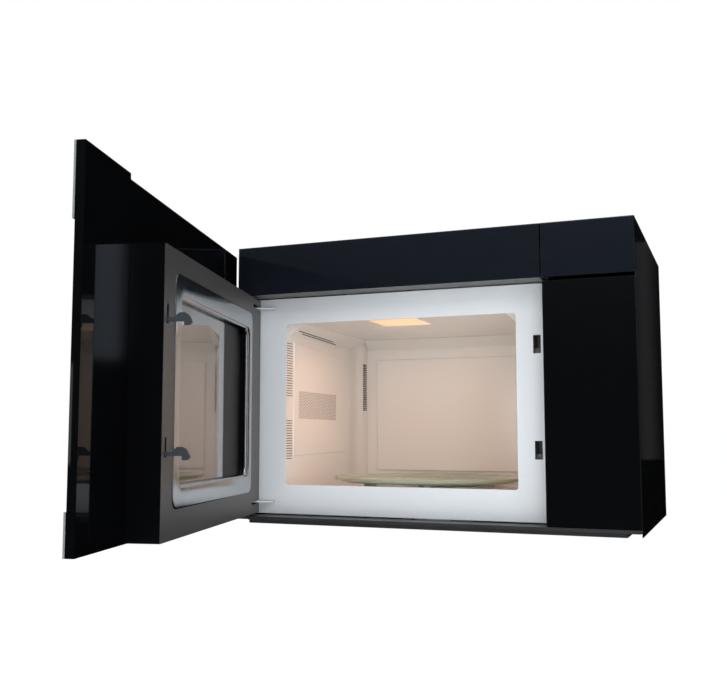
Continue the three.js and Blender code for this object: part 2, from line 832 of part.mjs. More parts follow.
// Bulb with its screw cap, hanging from the housing's roof.
function ovenBulb() {
  const roof = lampHousingLow + lampHousingHeight - sheet - gap;
  const cap = 7;
  const at = { x: (lampPort.x0 + lampPort.x1) / 2, y: (lampPort.y0 + lampPort.y1) / 2, z: 0 };
  const capLow = roof - 9;
  const centre = capLow - bulbRadius + 1;
  const profile = [];
  const steps = 6;
  for (let i = 0; i <= steps; i += 1) {
    const angle = -Math.PI / 2 + (i / steps) * (Math.PI * 0.8);
    profile.push([bulbRadius * Math.cos(angle), centre + bulbRadius * Math.sin(angle)]);
  }
  profile[0][0] = 0;
  return turned([...profile, [cap, capLow], [cap, roof], [0, roof]], 'z', at, 20);
}

function waveguide() {
  const x0 = ovenRight + sheet + gap;
  const x1 = x0 + waveguideDepth;
  const y = (wavePort.y0 + wavePort.y1) / 2;
  const z = (wavePort.z0 + wavePort.z1) / 2;
  const [y0, y1] = [y - waveguideLength / 2, y + waveguideLength / 2];
  const [z0, z1] = [z - waveguideHeight / 2, z + waveguideHeight / 2];
  const antennaHole = rod('x', { x: 0, y, z }, antennaRadius + 1, x1 - sheet - 1, x1 + 1);
  return shell(
    [x0, x1, y0, y1, z0, z1],
    [x0 - 1, x1 - sheet, y0 + sheet, y1 - sheet, z0 + sheet, z1 - sheet],
    antennaHole,
  );
}

function waveguideCover() {
  const lap = 8;
  const x1 = ovenRight - gap;
  return prismX(
    roundedRect(wavePort.y0 - lap, wavePort.y1 + lap, wavePort.z0 - lap, wavePort.z1 + lap, lap),
    x1 - screenThickness, x1,
  );
}

// ---------------------------------------------------------------- turntable

const rollerAxis = ovenFloor + gap + rollerRadius;
const trayUnder = rollerAxis + rollerRadius + gap;

function glassTray() {
  const flat = trayRadius - trayRimWidth;
  const rim = trayUnder + trayRimHeight;
  const lip = 3;
  return turned([
    [0, trayUnder], [flat, trayUnder], [trayRadius - 2, rim - trayThickness], [trayRadius, rim - 1],
    [trayRadius - 1, rim], [trayRadius - lip - 1, rim - 1], [flat, trayUnder + trayThickness - 1],
    [0, trayUnder + trayThickness - 1],
  ], 'z', { ...trayCentre, z: 0 }, 64);
}

// Three-lobed driver under the tray; its stem goes through the oven floor into the motor.
function trayCoupler() {
  const at = { ...trayCentre, z: 0 };
  const low = ovenFloor + 1;
  const high = trayUnder - gap;
  const lobes = [0, 1, 2].map(i => {
    const angle = radians(90 + i * 120);
    const x = trayCentre.x + couplerRadius * Math.cos(angle);
    const y = trayCentre.y + couplerRadius * Math.sin(angle);
    return rod('z', { x, y, z: 0 }, couplerLobe, low, high, 16);
  });
  const stem = rod('z', at, stemRadius, ovenFloor - sheet - turntableMotorHeight / 2, low + 1);
  return join(rod('z', at, couplerRadius, low, high), ...lobes, stem);
}

function turntableMotor() {
  const high = ovenFloor - sheet - gap;
  const low = high - turntableMotorHeight;
  const bore = boreFor(stemRadius, 24);
  const floor = ovenFloor - sheet - turntableMotorHeight / 2 - gap;
  return turned([
    [0, low], [turntableMotorRadius, low], [turntableMotorRadius, high],
    [bore, high], [bore, floor], [0, floor],
  ], 'z', { ...trayCentre, z: 0 }, 24);
}

const ringOuter = rollerPath - rollerWidth / 2 - 1;
const stubEnd = rollerPath + rollerWidth / 2 + 1;

function rollerAngle(i) {
  return firstRollerAngle + (i * 360) / rollerCount;
}

function rollerRing() {
  const inner = ringOuter - ringWidth;
  const z0 = rollerAxis - ringThickness / 2;
  const z1 = rollerAxis + ringThickness / 2;
  const ring = sleeve('z', { ...trayCentre, z: 0 }, inner, ringOuter, z0, z1, 48);
  const stubs = [];
  for (let i = 0; i < rollerCount; i += 1) {
    const stub = rod('x', { x: 0, y: 0, z: 0 }, stubRadius, ringOuter - 2, stubEnd, rollerFacets);
    stub.rotateZ(radians(rollerAngle(i)));
    stubs.push(stub.translate(trayCentre.x, trayCentre.y, rollerAxis));
  }
  return join(ring, ...stubs);
}

function roller() {
  const bore = boreFor(stubRadius, rollerFacets);
  return sleeve('x', { x: 0, y: 0, z: 0 }, bore, rollerRadius, -rollerWidth / 2, rollerWidth / 2, rollerFacets);
}

// ---------------------------------------------------------------- vent blower and exhaust

const blowerAt = { x: 0, y: -blowerFromWall, z: roofOutside + blowerRise };
const blowerHouses = [-blowerSpacing / 2, blowerSpacing / 2];

// Scroll with a round belly and a straight outlet up to the duct.
function blowerHousing(x) {
  const { y, z } = blowerAt;
  const x0 = x - blowerWidth / 2;
  const x1 = x + blowerWidth / 2;
  const outletTop = top - sheet - ductDrop - gap;
  const scroll = radius => {
    const shape = new THREE.Shape();
    shape.absarc(y, z, radius, Math.PI, Math.PI * 2);
    shape.lineTo(y + radius, outletTop);
    shape.lineTo(y, outletTop);
    shape.lineTo(y, z + radius);
    shape.absarc(y, z, radius, Math.PI / 2, Math.PI);
    return shape;
  };
  const wall = 1.2;
  const body = prismX(scroll(blowerRadius), x0, x1, scrollSteps);
  const hollow = prismX(scroll(blowerRadius - wall), x0 + wall, x1 - wall, scrollSteps);
  const mouth = block(x0 + wall, x1 - wall, y + wall, y + blowerRadius - wall, outletTop - 4, outletTop + 1);
  const inlets = rod('x', { x: 0, y, z }, blowerInletRadius, x0 - 1, x1 + 1, 24);
  const footTop = z - blowerRadius + 1;
  const footHigh = Math.max(footTop, roofOutside + gap + 2);
  const foot = block(x0 + 6, x1 - 6, y - 20, y + 20, roofOutside + gap, footHigh);
  return cut(join(body, foot), hollow, mouth, inlets);
}

function blowerMotor() {
  const { y, z } = blowerAt;
  const half = blowerMotorLength / 2;
  const body = sleeve('x', blowerAt, boreFor(shaftRadius, 16), blowerMotorRadius, -half, half, 16);
  const saddle = block(-half + 10, half - 10, y - 16, y + 16, roofOutside + gap, z - blowerMotorRadius + 2);
  return join(body, saddle);
}

// Both blower wheels on one shaft.
function ventRotor() {
  const half = blowerWheelWidth / 2;
  const disc = 1.5;
  const wheels = blowerHouses.flatMap(x => {
    const at = { ...blowerAt, x };
    const mid = rod('x', at, blowerWheelRadius, -disc / 2, disc / 2, 24);
    const inner = blowerWheelRadius - blowerVaneDepth;
    const rings = [-half, half - disc].map(low => sleeve(
      'x', at, inner, blowerWheelRadius, low, low + disc, 24,
    ));
    const vanes = [];
    for (let i = 0; i < blowerVaneCount; i += 1) {
      const lap = 0.5;
      const vane = block(
        -half + disc / 2, half - disc / 2, -blowerVaneThickness / 2, blowerVaneThickness / 2,
        inner + lap, blowerWheelRadius - lap,
      );
      vane.rotateX((i / blowerVaneCount) * Math.PI * 2);
      vanes.push(vane.translate(at.x, at.y, at.z));
    }
    return [mid, ...rings, ...vanes];
  });
  const reach = blowerSpacing / 2 + half;
  return join(rod('x', blowerAt, shaftRadius, -reach, reach, 16), ...wheels);
}

const flapAxis = { y: duct.y0 + sheet + flapHingeInset, z: top + flapRise };

// Collar for the duct over the cabinet, with a ledge that the flap closes on.
function exhaustAdaptor() {
  const flangeLow = top + gap;
  const collar = shell(
    [duct.x0, duct.x1, duct.y0, duct.y1, top - ductDrop, top + ductRise],
    [
      duct.x0 + sheet, duct.x1 - sheet, duct.y0 + sheet, duct.y1 - sheet,
      top - ductDrop - 1, top + ductRise + 1,
    ],
  );
  const f = ductFlange;
  const flange = shell(
    [duct.x0 - f, duct.x1 + f, duct.y0 - f, duct.y1 + f, flangeLow, flangeLow + sheet],
    [duct.x0 + sheet / 2, duct.x1 - sheet / 2, duct.y0 + sheet / 2, duct.y1 - sheet / 2, top, top + 3],
  );
  const ledgeTop = flapAxis.z - sheet / 2 - gap;
  const ledge = block(
    duct.x0 + ledgeInset, duct.x1 - ledgeInset, duct.y1 - sheet - ledgeWidth, duct.y1 - sheet / 2,
    ledgeTop - sheet, ledgeTop,
  );
  const pinHoles = rod('x', { x: 0, ...flapAxis }, boreFor(flapPinRadius, 12), duct.x0 - 1, duct.x1 + 1, 12);
  return cut(join(collar, flange, ledge), pinHoles);
}

function damperFlap() {
  const c = flapClearance;
  const plate = block(
    duct.x0 + sheet + c, duct.x1 - sheet - c, flapAxis.y, duct.y1 - sheet - 1,
    flapAxis.z - sheet / 2, flapAxis.z + sheet / 2,
  );
  const pin = rod('x', { x: 0, ...flapAxis }, flapPinRadius, duct.x0 - 0.5, duct.x1 + 0.5, 12);
  return join(plate, pin);
}

// ---------------------------------------------------------------- electrical pieces

const waveCentre = { y: (wavePort.y0 + wavePort.y1) / 2, z: (wavePort.z0 + wavePort.z1) / 2 };

// Finned tube in its yoke; the antenna dome reaches into the waveguide.
function magnetron() {
  const x0 = ovenRight + sheet + gap + waveguideDepth + gap;
  const x1 = x0 + magnetronWidth;
  const { y, z } = waveCentre;
  const wall = 2;
  const [y0, y1] = [y - magnetronDepth / 2, y + magnetronDepth / 2];
  const [z0, z1] = [z - magnetronHeight / 2, z + magnetronHeight / 2];
  const yoke = shell([x0, x1, y0, y1, z0, z1], [x0 + wall, x1 - wall, y0 - 1, y1 + 1, z0 + wall, z1 - wall]);
  const core = rod('x', { x: 0, y, z }, magnetronCore, x0 + 1, x1 - 1, 16);
  const fins = [];
  const pitch = (magnetronWidth - 30) / (magnetronFinCount - 1);
  for (let i = 0; i < magnetronFinCount; i += 1) {
    const x = x0 + 15 + i * pitch;
    fins.push(block(x - 0.5, x + 0.5, y0 + 6, y1 - 6, z0 + 1, z1 - 1));
  }
  const antenna = rod('x', { x: 0, y, z }, antennaRadius, x0 - waveguideDepth * 0.6, x0 + 2, 20);
  return join(yoke, core, antenna, ...fins);
}

const transformerAt = { x: bayLeft + transformerFromBay, y: frameRear + transformerFromFrame };

// Laminated core with its primary and secondary coils, one over the other.
function transformer() {
  const x0 = transformerAt.x;
  const y0 = transformerAt.y;
  const z0 = baseTop + gap;
  const x1 = x0 + transformerWidth;
  const y1 = y0 + transformerDepth;
  const z1 = z0 + transformerHeight;
  const core = block(x0, x1, y0 + transformerCoilOverhang, y1 - transformerCoilOverhang, z0, z1);
  const height = (transformerHeight - transformerCoilGap) / 2 - transformerYoke;
  const coils = [0, 1].map(i => {
    const low = z0 + transformerYoke + i * (height + transformerCoilGap);
    return block(x0 + transformerYoke, x1 - transformerYoke, y0, y1, low, low + height);
  });
  return join(core, ...coils);
}

// Oval can behind the transformer, with its two tabs.
function capacitor() {
  const x0 = transformerAt.x + (transformerWidth - capacitorWidth) / 2;
  const y0 = transformerAt.y + transformerDepth + capacitorSpace;
  const z0 = baseTop + gap;
  const z1 = z0 + capacitorHeight;
  const y = y0 + capacitorDepth / 2;
  const can = prismZ(
    roundedRect(x0, x0 + capacitorWidth, y0, y0 + capacitorDepth, capacitorDepth / 2 - 0.1),
    z0, z1, 2 * cornerSteps,
  );
  const tabs = [-1, 1].map(side => {
    const x = x0 + capacitorWidth / 2 + side * tabSpacing / 2;
    return block(x - tabWidth / 2, x + tabWidth / 2, y - sheet, y + sheet, z1 - 1, z1 + tabLength);
  });
  return join(can, ...tabs);
}

// Control electronics on four posts behind the bay cover.
function powerBoard() {
  const x0 = bayLeft + boardFromBay;
  const x1 = x0 + boardWidthPower;
  const y0 = trimBack + boardBehindCover;
  const z1 = bayTop - boardFromBayTop;
  const z0 = z1 - boardHeightPower;
  const board = block(x0, x1, y0, y0 + boardThickness, z0, z1);
  const posts = [x0 + postInset, x1 - postInset].flatMap(x => [z0 + postInset, z1 - postInset].map(z => rod(
    'y', { x, y: 0, z }, postRadius, trimBack + gap, y0 + boardThickness / 2, 12,
  )));
  const relayPitch = (boardHeightPower - 2 * relayInset) / 3;
  const relays = [0, 1, 2].map(i => {
    const low = z0 + relayInset + i * relayPitch;
    return block(x0 + 8, x0 + 8 + relaySide, y0 + 1, y0 + relaySide, low, low + relayPitch * 0.7);
  });
  const middle = (z0 + z1) / 2;
  const supply = block(
    x1 - 14 - supplySide, x1 - 14, y0 + 1, y0 + relaySide, middle - supplySide / 2, middle + supplySide / 2,
  );
  return join(board, ...posts, ...relays, supply);
}

const fanAt = { x: bayLeft + bayWidth / 2, y: -fanFromWall, z: waveCentre.z };

// Square plate with the fan's ring, a leg down to the base and two arms that carry the motor.
function fanShroud() {
  const half = fanPlateSide / 2;
  const { x, y, z } = fanAt;
  const bore = fanRadius + fanTipClearance;
  const [low, high] = [y - fanRingFront, y - fanRingFront + fanSheet];
  const plate = block(x - half, x + half, low, high, z - half, z + half);
  const hole = rod('y', { x, y, z }, bore, -fanRingFront - 1, fanRingRear + 1, 32);
  const ring = sleeve('y', { x, y, z }, bore, bore + fanSheet, -fanRingFront, fanRingRear, 32);
  const leg = block(x - half, x + half, low, high, baseTop + gap, z - half + 1);
  const arms = [-1, 1].map(side => {
    const ends = [side * (bore + fanSheet), side * (fanMotorSide / 2 - fanSheet)];
    return block(
      x + Math.min(...ends), x + Math.max(...ends), y + fanRingRear - 2, y + fanRingRear,
      z - fanArmWidth / 2, z + fanArmWidth / 2,
    );
  });
  return join(cut(join(plate, ring), hole), leg, ...arms);
}

function fanMotor() {
  const half = fanMotorSide / 2;
  const { x, y, z } = fanAt;
  const low = y + fanRingRear + gap;
  const stack = block(x - half, x + half, low, low + fanMotorDepth, z - half, z + half);
  const bore = rod('y', { x, y: 0, z }, boreFor(shaftRadius, 16), low - 1, low + fanMotorDepth + 1, 16);
  return cut(stack, bore);
}

function fanBlade() {
  const { x, y, z } = fanAt;
  const hub = rod('y', { x, y, z }, fanHub, -fanHubDepth, fanRingRear / 2, 24);
  const shaft = rod('y', { x, y, z }, shaftRadius, 3, fanRingRear + gap + fanMotorDepth - 2, 16);
  const blades = [];
  for (let i = 0; i < fanBladeCount; i += 1) {
    const blade = block(
      -fanBladeChord / 2, fanBladeChord / 2, -fanBladeThickness / 2, fanBladeThickness / 2,
      fanHub - 2, fanRadius,
    );
    blade.rotateZ(radians(fanBladePitch));
    blade.rotateY((i / fanBladeCount) * Math.PI * 2);
    blades.push(blade.translate(x, y - fanBladeThickness, z));
  }
  return join(hub, shaft, ...blades);
}

// Bush where the supply cord enters through the roof.
function cordGland() {
  const r = glandRadius;
  const hole = r - 2 - gap;
  const low = top - sheet;
  return turned([
    [glandBore, low - 5], [hole, low - 5], [hole, top + gap], [r, top + gap], [r, top + glandRise - 2],
    [r - 3, top + glandRise], [glandBore, top + glandRise], [glandBore, low - 5],
  ], 'z', { ...glandPlace, z: 0 }, 24);
}

// ---------------------------------------------------------------- latch receiver

const strikeFront = panFace + toothFront - strikeClearance - strikeLength;

// Moulded carrier behind the face frame, with a channel and a strike for each hook.
function latchBoard() {
  const x0 = hookX - boardWidth / 2;
  const x1 = hookX + boardWidth / 2;
  const y0 = frameRear + gap;
  const y1 = y0 + boardDepth;
  const z0 = hookNoses[0] - slotBelowNose - boardMargin;
  const z1 = hookNoses[1] + slotAboveNose + boardMargin;
  const channels = hookNoses.map(nose => block(
    hookX - slotWidth / 2, hookX + slotWidth / 2, y0 - 1, y1 - 4, nose - slotBelowNose, nose + slotAboveNose,
  ));
  const strikes = hookNoses.map(nose => block(
    hookX - slotWidth / 2 - 1, hookX + slotWidth / 2 + 1, strikeFront, strikeFront + strikeLength,
    nose - slotBelowNose - 1, nose + strikeHeight,
  ));
  const middle = (z0 + z1) / 2;
  const relief = block(x0 + 4, x1 - 4, y0 + 6, y1 + 1, middle - 40, middle + 40);
  return join(cut(block(x0, x1, y0, y1, z0, z1), ...channels, relief), ...strikes);
}

// Microswitches on the carrier's rear face, one for each height, with their two tabs.
function interlockSwitches(heights) {
  const y0 = frameRear + gap + boardDepth + gap;
  const y1 = y0 + switchDepth;
  const parts = heights.flatMap(z => [
    block(hookX - switchWidth / 2, hookX + switchWidth / 2, y0, y1, z - switchHeight / 2, z + switchHeight / 2),
    ...[-1, 1].map(side => block(
      hookX - 0.4, hookX + 0.4, y1 - 1, y1 + 6, z + side * 4.5 - 1.5, z + side * 4.5 + 1.5,
    )),
  ]);
  return join(...parts);
}

// ---------------------------------------------------------------- hinge

// Arm from behind the face frame to the door's pivot, with its pin on the upper or lower side.
function hingeBracket([low, high], pinSide) {
  const outline = new THREE.Shape();
  const r = hingeBossRadius;
  const footEnd = frameRear + gap + sheet / 2;
  outline.absarc(pivot.x, pivot.y, r, Math.PI * 0.62, Math.PI * 1.6);
  outline.lineTo(hingeFoot[1], frameFace - 6);
  outline.lineTo(hingeFoot[1], footEnd);
  outline.lineTo(hingeFoot[0], footEnd);
  outline.lineTo(hingeFoot[0], frameFace - 1);
  const plate = prismZ(outline, low, high, 2 * cornerSteps);
  const middle = (low + high) / 2;
  const flange = block(
    hingeFoot[0] - hingeFlangeMargin, hingeFoot[1] + hingeFlangeMargin, frameRear + gap,
    frameRear + gap + 1.5, middle - hingeFlangeHeight / 2, middle + hingeFlangeHeight / 2,
  );
  const pinSpan = pinSide > 0 ? [high - 1, high + pinLength] : [low - pinLength, low + 1];
  return join(plate, flange, rod('z', { ...pivot, z: 0 }, pinRadius, ...pinSpan, 20));
}

function hingeBush(low, high) {
  const x0 = panLeft + sheet + gap;
  const y1 = panFace - sheet - gap;
  return cut(
    block(x0, x0 + bushWidth, y1 - bushDepth, y1, low, high),
    rod('z', { ...pivot, z: 0 }, boreFor(pinRadius, 20), low - 1, high + 1, 20),
  );
}

// ---------------------------------------------------------------- door

// The door's outline has a taller part on the latch side, in line with the fascia's split.
function doorOutline(inset, rightInset = inset) {
  return [
    [left + inset, doorBottom + inset], [right - rightInset, doorBottom + inset],
    [right - rightInset, doorTop - inset], [split + inset, doorTop - inset],
    [split + inset, doorStepTop - inset], [left + inset, doorStepTop - inset],
  ];
}

const doorWindow = {
  x0: windowLeft,
  x1: windowLeft + windowWidth,
  z0: windowBottom,
  z1: windowBottom + windowHeight,
};

function windowShape(grow, radius = windowRounding) {
  return roundedRect(
    doorWindow.x0 - grow, doorWindow.x1 + grow, doorWindow.z0 - grow, doorWindow.z1 + grow, radius,
  );
}

// Outer pane over the whole door, with a long finger notch in the latch-side edge.
function doorGlass() {
  const pane = prismY(doorOutline(0), doorFace, doorFace + doorGlassThickness);
  const low = doorBottom + notchFromBottom;
  const notch = prismY(
    roundedRect(right - notchDepth, right + notchDepth, low, low + notchHeight, notchDepth / 2),
    doorFace - 1, doorFace + doorGlassThickness + 1,
  );
  return cut(pane, notch);
}

// Tray-shaped frame: rim all round and back plate with the window cut out. By the notch, a pocket
// inside the rim reaches behind the glass for the fingertips.
function doorFrame() {
  const body = prismY(doorOutline(0), doorPocket, doorBack);
  const pocketOutline = doorOutline(doorFrameWall, gripReach + doorFrameWall);
  const pocket = prismY(pocketOutline, doorPocket - 1, doorBack - doorFrameBack);
  const hole = prismY(windowShape(6), doorPocket - 1, doorBack + 1);
  const low = doorBottom + notchFromBottom;
  const grip = block(
    right - gripReach, right - gripLip, doorPocket - 1, doorPocket + gripDepth, low, low + notchHeight,
  );
  return cut(body, pocket, hole, grip);
}

// Folded pan that fills the recess: rim, inner face with the window, and slots for hinge and hooks.
function doorPan() {
  const outer = block(panLeft, panRight, panFront, panFace, panBottom, panTop);
  const inner = block(
    panLeft + sheet, panRight - sheet, panFront - 1, panFace - sheet, panBottom + sheet, panTop - sheet,
  );
  const returnWall = cut(
    prismY(windowShape(sheet), panFace - sheet - windowReturn, panFace - sheet / 2),
    prismY(windowShape(0), front - 1, panFace + 1),
  );
  const windowHole = prismY(windowShape(0), panFace - sheet - 1, panFace + 1);
  const c = panSlotClearance;
  const hingeSlots = [upperPlate, lowerPlate].map(([low, high]) => block(
    left, left + panSlotLength + panFromLeft, pivot.y - hingeBossRadius - 2 * c, panFace + 1, low - c, high + c,
  ));
  const hookSlots = hookNoses.map(nose => block(
    hookX - latchHookThickness / 2 - 1.5, hookX + latchHookThickness / 2 + 1.5, panFace - 2, panFace + 1,
    nose + toothDepth - 2, nose + toothDepth + hookShank + latchTravel + slotAboveNose / 2,
  ));
  return cut(join(cut(outer, inner, windowHole), returnWall), ...hingeSlots, ...hookSlots);
}

// Slim frame over the edge of the window, with a collar that lines the well.
function windowBezel() {
  const flange = cut(
    prismY(
      roundedRect(
        doorWindow.x0 - bezelHingeBorder, doorWindow.x1 + bezelLatchBorder,
        doorWindow.z0 - bezelEdgeBorder, doorWindow.z1 + bezelEdgeBorder, 6,
      ),
      panFace + gap, panFace + gap + bezelThickness,
    ),
    prismY(windowShape(-gap - bezelWall), panFace, panFace + gap + bezelThickness + 1),
  );
  const collar = cut(
    prismY(windowShape(-gap), panFace - bezelDepth, panFace + gap + bezelThickness / 2),
    prismY(windowShape(-gap - bezelWall), panFace - bezelDepth - 1, panFace + bezelThickness + 1),
  );
  return join(flange, collar);
}

const innerGlassBack = panFace - bezelDepth - gap;

function innerGlass() {
  return prismY(windowShape(-gap), innerGlassBack - innerGlassThickness, innerGlassBack);
}

function perforatedScreen() {
  const y1 = panFace - sheet - windowReturn - gap;
  return prismY(windowShape(4), y1 - screenThickness, y1);
}

// Switch foil behind the glass with the display block under it.
function touchPanel() {
  const y0 = doorPocket + gap;
  const x1 = right - gripReach - doorFrameWall - touchPanelClearance;
  const x0 = x1 - touchPanelWidth;
  const z0 = doorBottom + touchPanelFromBottom;
  const z1 = z0 + touchPanelHeight;
  const foil = block(x0, x1, y0, y0 + touchPanelThickness, z0, z1);
  const displayBack = Math.min(y0 + displayDepth, doorBack - doorFrameBack - gap);
  const m = displayMargin;
  const display = block(
    x0 + m, x1 - m, y0 + touchPanelThickness / 2, displayBack, z1 - displayHeight - m, z1 - m,
  );
  const postAt = { x: (x0 + x1) / 2, y: 0, z: z0 + 20 };
  const post = rod('y', postAt, 3, y0 + 0.4, doorBack - doorFrameBack - gap, 12);
  return join(foil, display, post);
}

// ---------------------------------------------------------------- latch lever

const barBack = panFace - sheet - 0.6;

function latchHook(nose) {
  const shankTop = toothDepth + hookShank;
  const outline = [
    [-latchBarDepth, toothDepth], [toothFront, toothDepth], [toothFront, 0], [toothFront + 6, 0],
    [latchHookReach, 3.5], [latchHookReach - 4.5, hookCrown - 2.7], [latchHookReach - 8.5, hookCrown],
    [toothFront - 6, hookCrown], [toothFront - 12, shankTop], [-latchBarDepth, shankTop],
  ];
  return prismX(
    outline.map(([reach, height]) => [panFace + reach, nose + height]),
    hookX - latchHookThickness / 2, hookX + latchHookThickness / 2,
  );
}

const barTop = hookNoses[1] + toothDepth + hookShank + latchBarOverrun + 10;

function latchLever() {
  const half = latchBarWidth / 2;
  const bar = block(
    hookX - half, hookX + half, barBack - latchBarDepth, barBack, hookNoses[0] - latchBarOverrun, barTop,
  );
  return join(bar, ...hookNoses.map(latchHook));
}

const springSeat = barTop + gap + springLength + gap;
const springY = barBack - latchBarDepth / 2;

// Rail with two clips that the lever's bar slides in, and the stop that its spring pushes against.
function latchGuide() {
  const half = latchBarWidth / 2;
  const y0 = barBack - latchBarDepth - guideClearance - guideWall;
  const y1 = panFace - sheet - gap;
  const clipCentres = [hookNoses[0] + latchHookPitch * 0.3, hookNoses[0] + latchHookPitch * 0.7];
  const outer = half + guideClearance + guideWall;
  const clips = clipCentres.map(z => block(
    hookX - outer, hookX + outer, y0, y1, z - guideHeight / 2, z + guideHeight / 2,
  ));
  const stop = block(hookX - outer, hookX + outer, y0, y1, springSeat, springSeat + 4);
  const rail = block(hookX - half, hookX + half, y0, y0 + guideWall, clipCentres[0], springSeat + 4);
  const channel = block(
    hookX - half - guideClearance, hookX + half + guideClearance, y0 + guideWall, y1 + 1,
    clipCentres[0] - guideHeight, clipCentres[1] + guideHeight,
  );
  return join(cut(join(...clips), channel), rail, stop);
}

function latchSpring() {
  const at = { x: hookX, y: springY, z: 0 };
  return sleeve('z', at, springBore, springRadius, barTop + gap, springSeat - gap, 16);
}

// ---------------------------------------------------------------- assembly

const microwave = new THREE.Group();

const cabinet = new THREE.Group();
microwave.add(cabinet);
piece(cabinet, 'outer_wrapper', outerWrapper(), 'blackGloss');
piece(cabinet, 'back_plate', backPlate(), 'steel');
piece(cabinet, 'wall_plate', wallPlate(), 'steel');
piece(cabinet, 'base_plate', basePlate(), 'steel');
piece(cabinet, 'hood_underside', hoodUnderside(), 'blackPlastic');
piece(cabinet, 'cooktop_lens', cooktopLens(), 'clearGlass');
piece(cabinet, 'cooktop_lamp', cooktopLamp(), 'lampGlow');
piece(cabinet, 'fascia_left', fasciaPanel(left, split - splitSeam / 2), 'blackFascia');
piece(cabinet, 'fascia_right', fasciaPanel(split + splitSeam / 2, right), 'blackFascia');
piece(cabinet, 'fascia_floor', fasciaFloor(), 'greyPlastic');
piece(cabinet, 'control_bay_cover', controlBayCover(), 'blackGloss');
piece(cabinet, 'sill_trim', sillTrim(), 'blackPlastic');
piece(cabinet, 'charcoal_filter', charcoalFilter(), 'carbon');
piece(cabinet, 'front_frame', frontFrame(), 'whiteEnamel');
piece(cabinet, 'oven_cavity', ovenCavity(), 'ovenEnamel');
piece(cabinet, 'lamp_screen', lampScreen(), 'steel');
piece(cabinet, 'lamp_housing', lampHousing(), 'steel');
piece(cabinet, 'oven_bulb', ovenBulb(), 'lampGlow');
piece(cabinet, 'waveguide', waveguide(), 'aluminium');
piece(cabinet, 'waveguide_cover', waveguideCover(), 'mica');
piece(cabinet, 'magnetron', magnetron(), 'aluminium');
piece(cabinet, 'hv_transformer', transformer(), 'darkSteel');
piece(cabinet, 'hv_capacitor', capacitor(), 'aluminium');
piece(cabinet, 'power_board', powerBoard(), 'boardGreen');
piece(cabinet, 'fan_shroud', fanShroud(), 'steel');
piece(cabinet, 'fan_motor', fanMotor(), 'darkSteel');
piece(cabinet, 'blower_housing_left', blowerHousing(blowerHouses[0]), 'steel');
piece(cabinet, 'blower_housing_right', blowerHousing(blowerHouses[1]), 'steel');
piece(cabinet, 'blower_motor', blowerMotor(), 'darkSteel');
piece(cabinet, 'exhaust_adaptor', exhaustAdaptor(), 'steel');
piece(cabinet, 'turntable_motor', turntableMotor(), 'steel');
piece(cabinet, 'latch_board', latchBoard(), 'whitePlastic');
const lowerSwitch = hookNoses[0] + switchHeight / 2;
const upperSwitch = hookNoses[1] - switchHeight / 2;
piece(cabinet, 'interlock_switch_lower', interlockSwitches([lowerSwitch]), 'blackPlastic');
piece(
  cabinet, 'interlock_switches_upper',
  interlockSwitches([upperSwitch, upperSwitch + switchHeight]), 'blackPlastic',
);
piece(cabinet, 'hinge_bracket_upper', hingeBracket(upperPlate, 1), 'whiteEnamel');
piece(cabinet, 'hinge_bracket_lower', hingeBracket(lowerPlate, -1), 'whiteEnamel');
piece(cabinet, 'cord_gland', cordGland(), 'blackPlastic');

piece(microwave, 'glass_tray', glassTray(), 'clearGlass');
piece(microwave, 'tray_coupler', trayCoupler(), 'whitePlastic');
piece(microwave, 'roller_ring', rollerRing(), 'whitePlastic');
for (let i = 0; i < rollerCount; i += 1) {
  const spoke = new THREE.Group();
  spoke.position.set(trayCentre.x, trayCentre.y, rollerAxis);
  spoke.rotation.z = radians(rollerAngle(i));
  microwave.add(spoke);
  piece(spoke, `roller_${i + 1}`, roller(), 'whitePlastic').position.x = rollerPath;
}
piece(microwave, 'vent_rotor', ventRotor(), 'blackPlastic');
piece(microwave, 'cooling_fan_blade', fanBlade(), 'blackPlastic');
piece(microwave, 'damper_flap', damperFlap(), 'steel');
piece(microwave, 'grease_filter_left', greaseFilter(filterCentres[0]), 'aluminium');
piece(microwave, 'grease_filter_right', greaseFilter(filterCentres[1]), 'aluminium');

// The door is drawn closed, then swung open about its pivot.
const doorSwing = new THREE.Group();
doorSwing.position.set(pivot.x, pivot.y, 0);
doorSwing.rotation.z = -radians(openAngle);
microwave.add(doorSwing);
const door = new THREE.Group();
door.position.set(-pivot.x, -pivot.y, 0);
doorSwing.add(door);
piece(door, 'door_glass', doorGlass(), 'blackGlass');
piece(door, 'door_frame', doorFrame(), 'blackGloss');
piece(door, 'door_pan', doorPan(), 'panGrey');
piece(door, 'window_bezel', windowBezel(), 'silverTrim');
piece(door, 'inner_glass', innerGlass(), 'clearGlass');
piece(door, 'perforated_screen', perforatedScreen(), 'darkSteel');
piece(door, 'touch_panel', touchPanel(), 'blackPlastic');
piece(door, 'hinge_bush_upper', hingeBush(upperPlateTop + gap, panTop - sheet - gap), 'blackPlastic');
piece(door, 'hinge_bush_lower', hingeBush(panBottom + sheet + gap, lowerPlateBottom - gap), 'blackPlastic');
piece(door, 'latch_guide', latchGuide(), 'whitePlastic');
piece(door, 'latch_spring', latchSpring(), 'steel');
piece(door, 'latch_lever', latchLever(), 'blackPlastic');

export default microwave;
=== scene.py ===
"""Dressed model of an over the range microwave with its door open, for a plain studio view."""

import json
import math

import bpy
from mathutils import Matrix, Vector


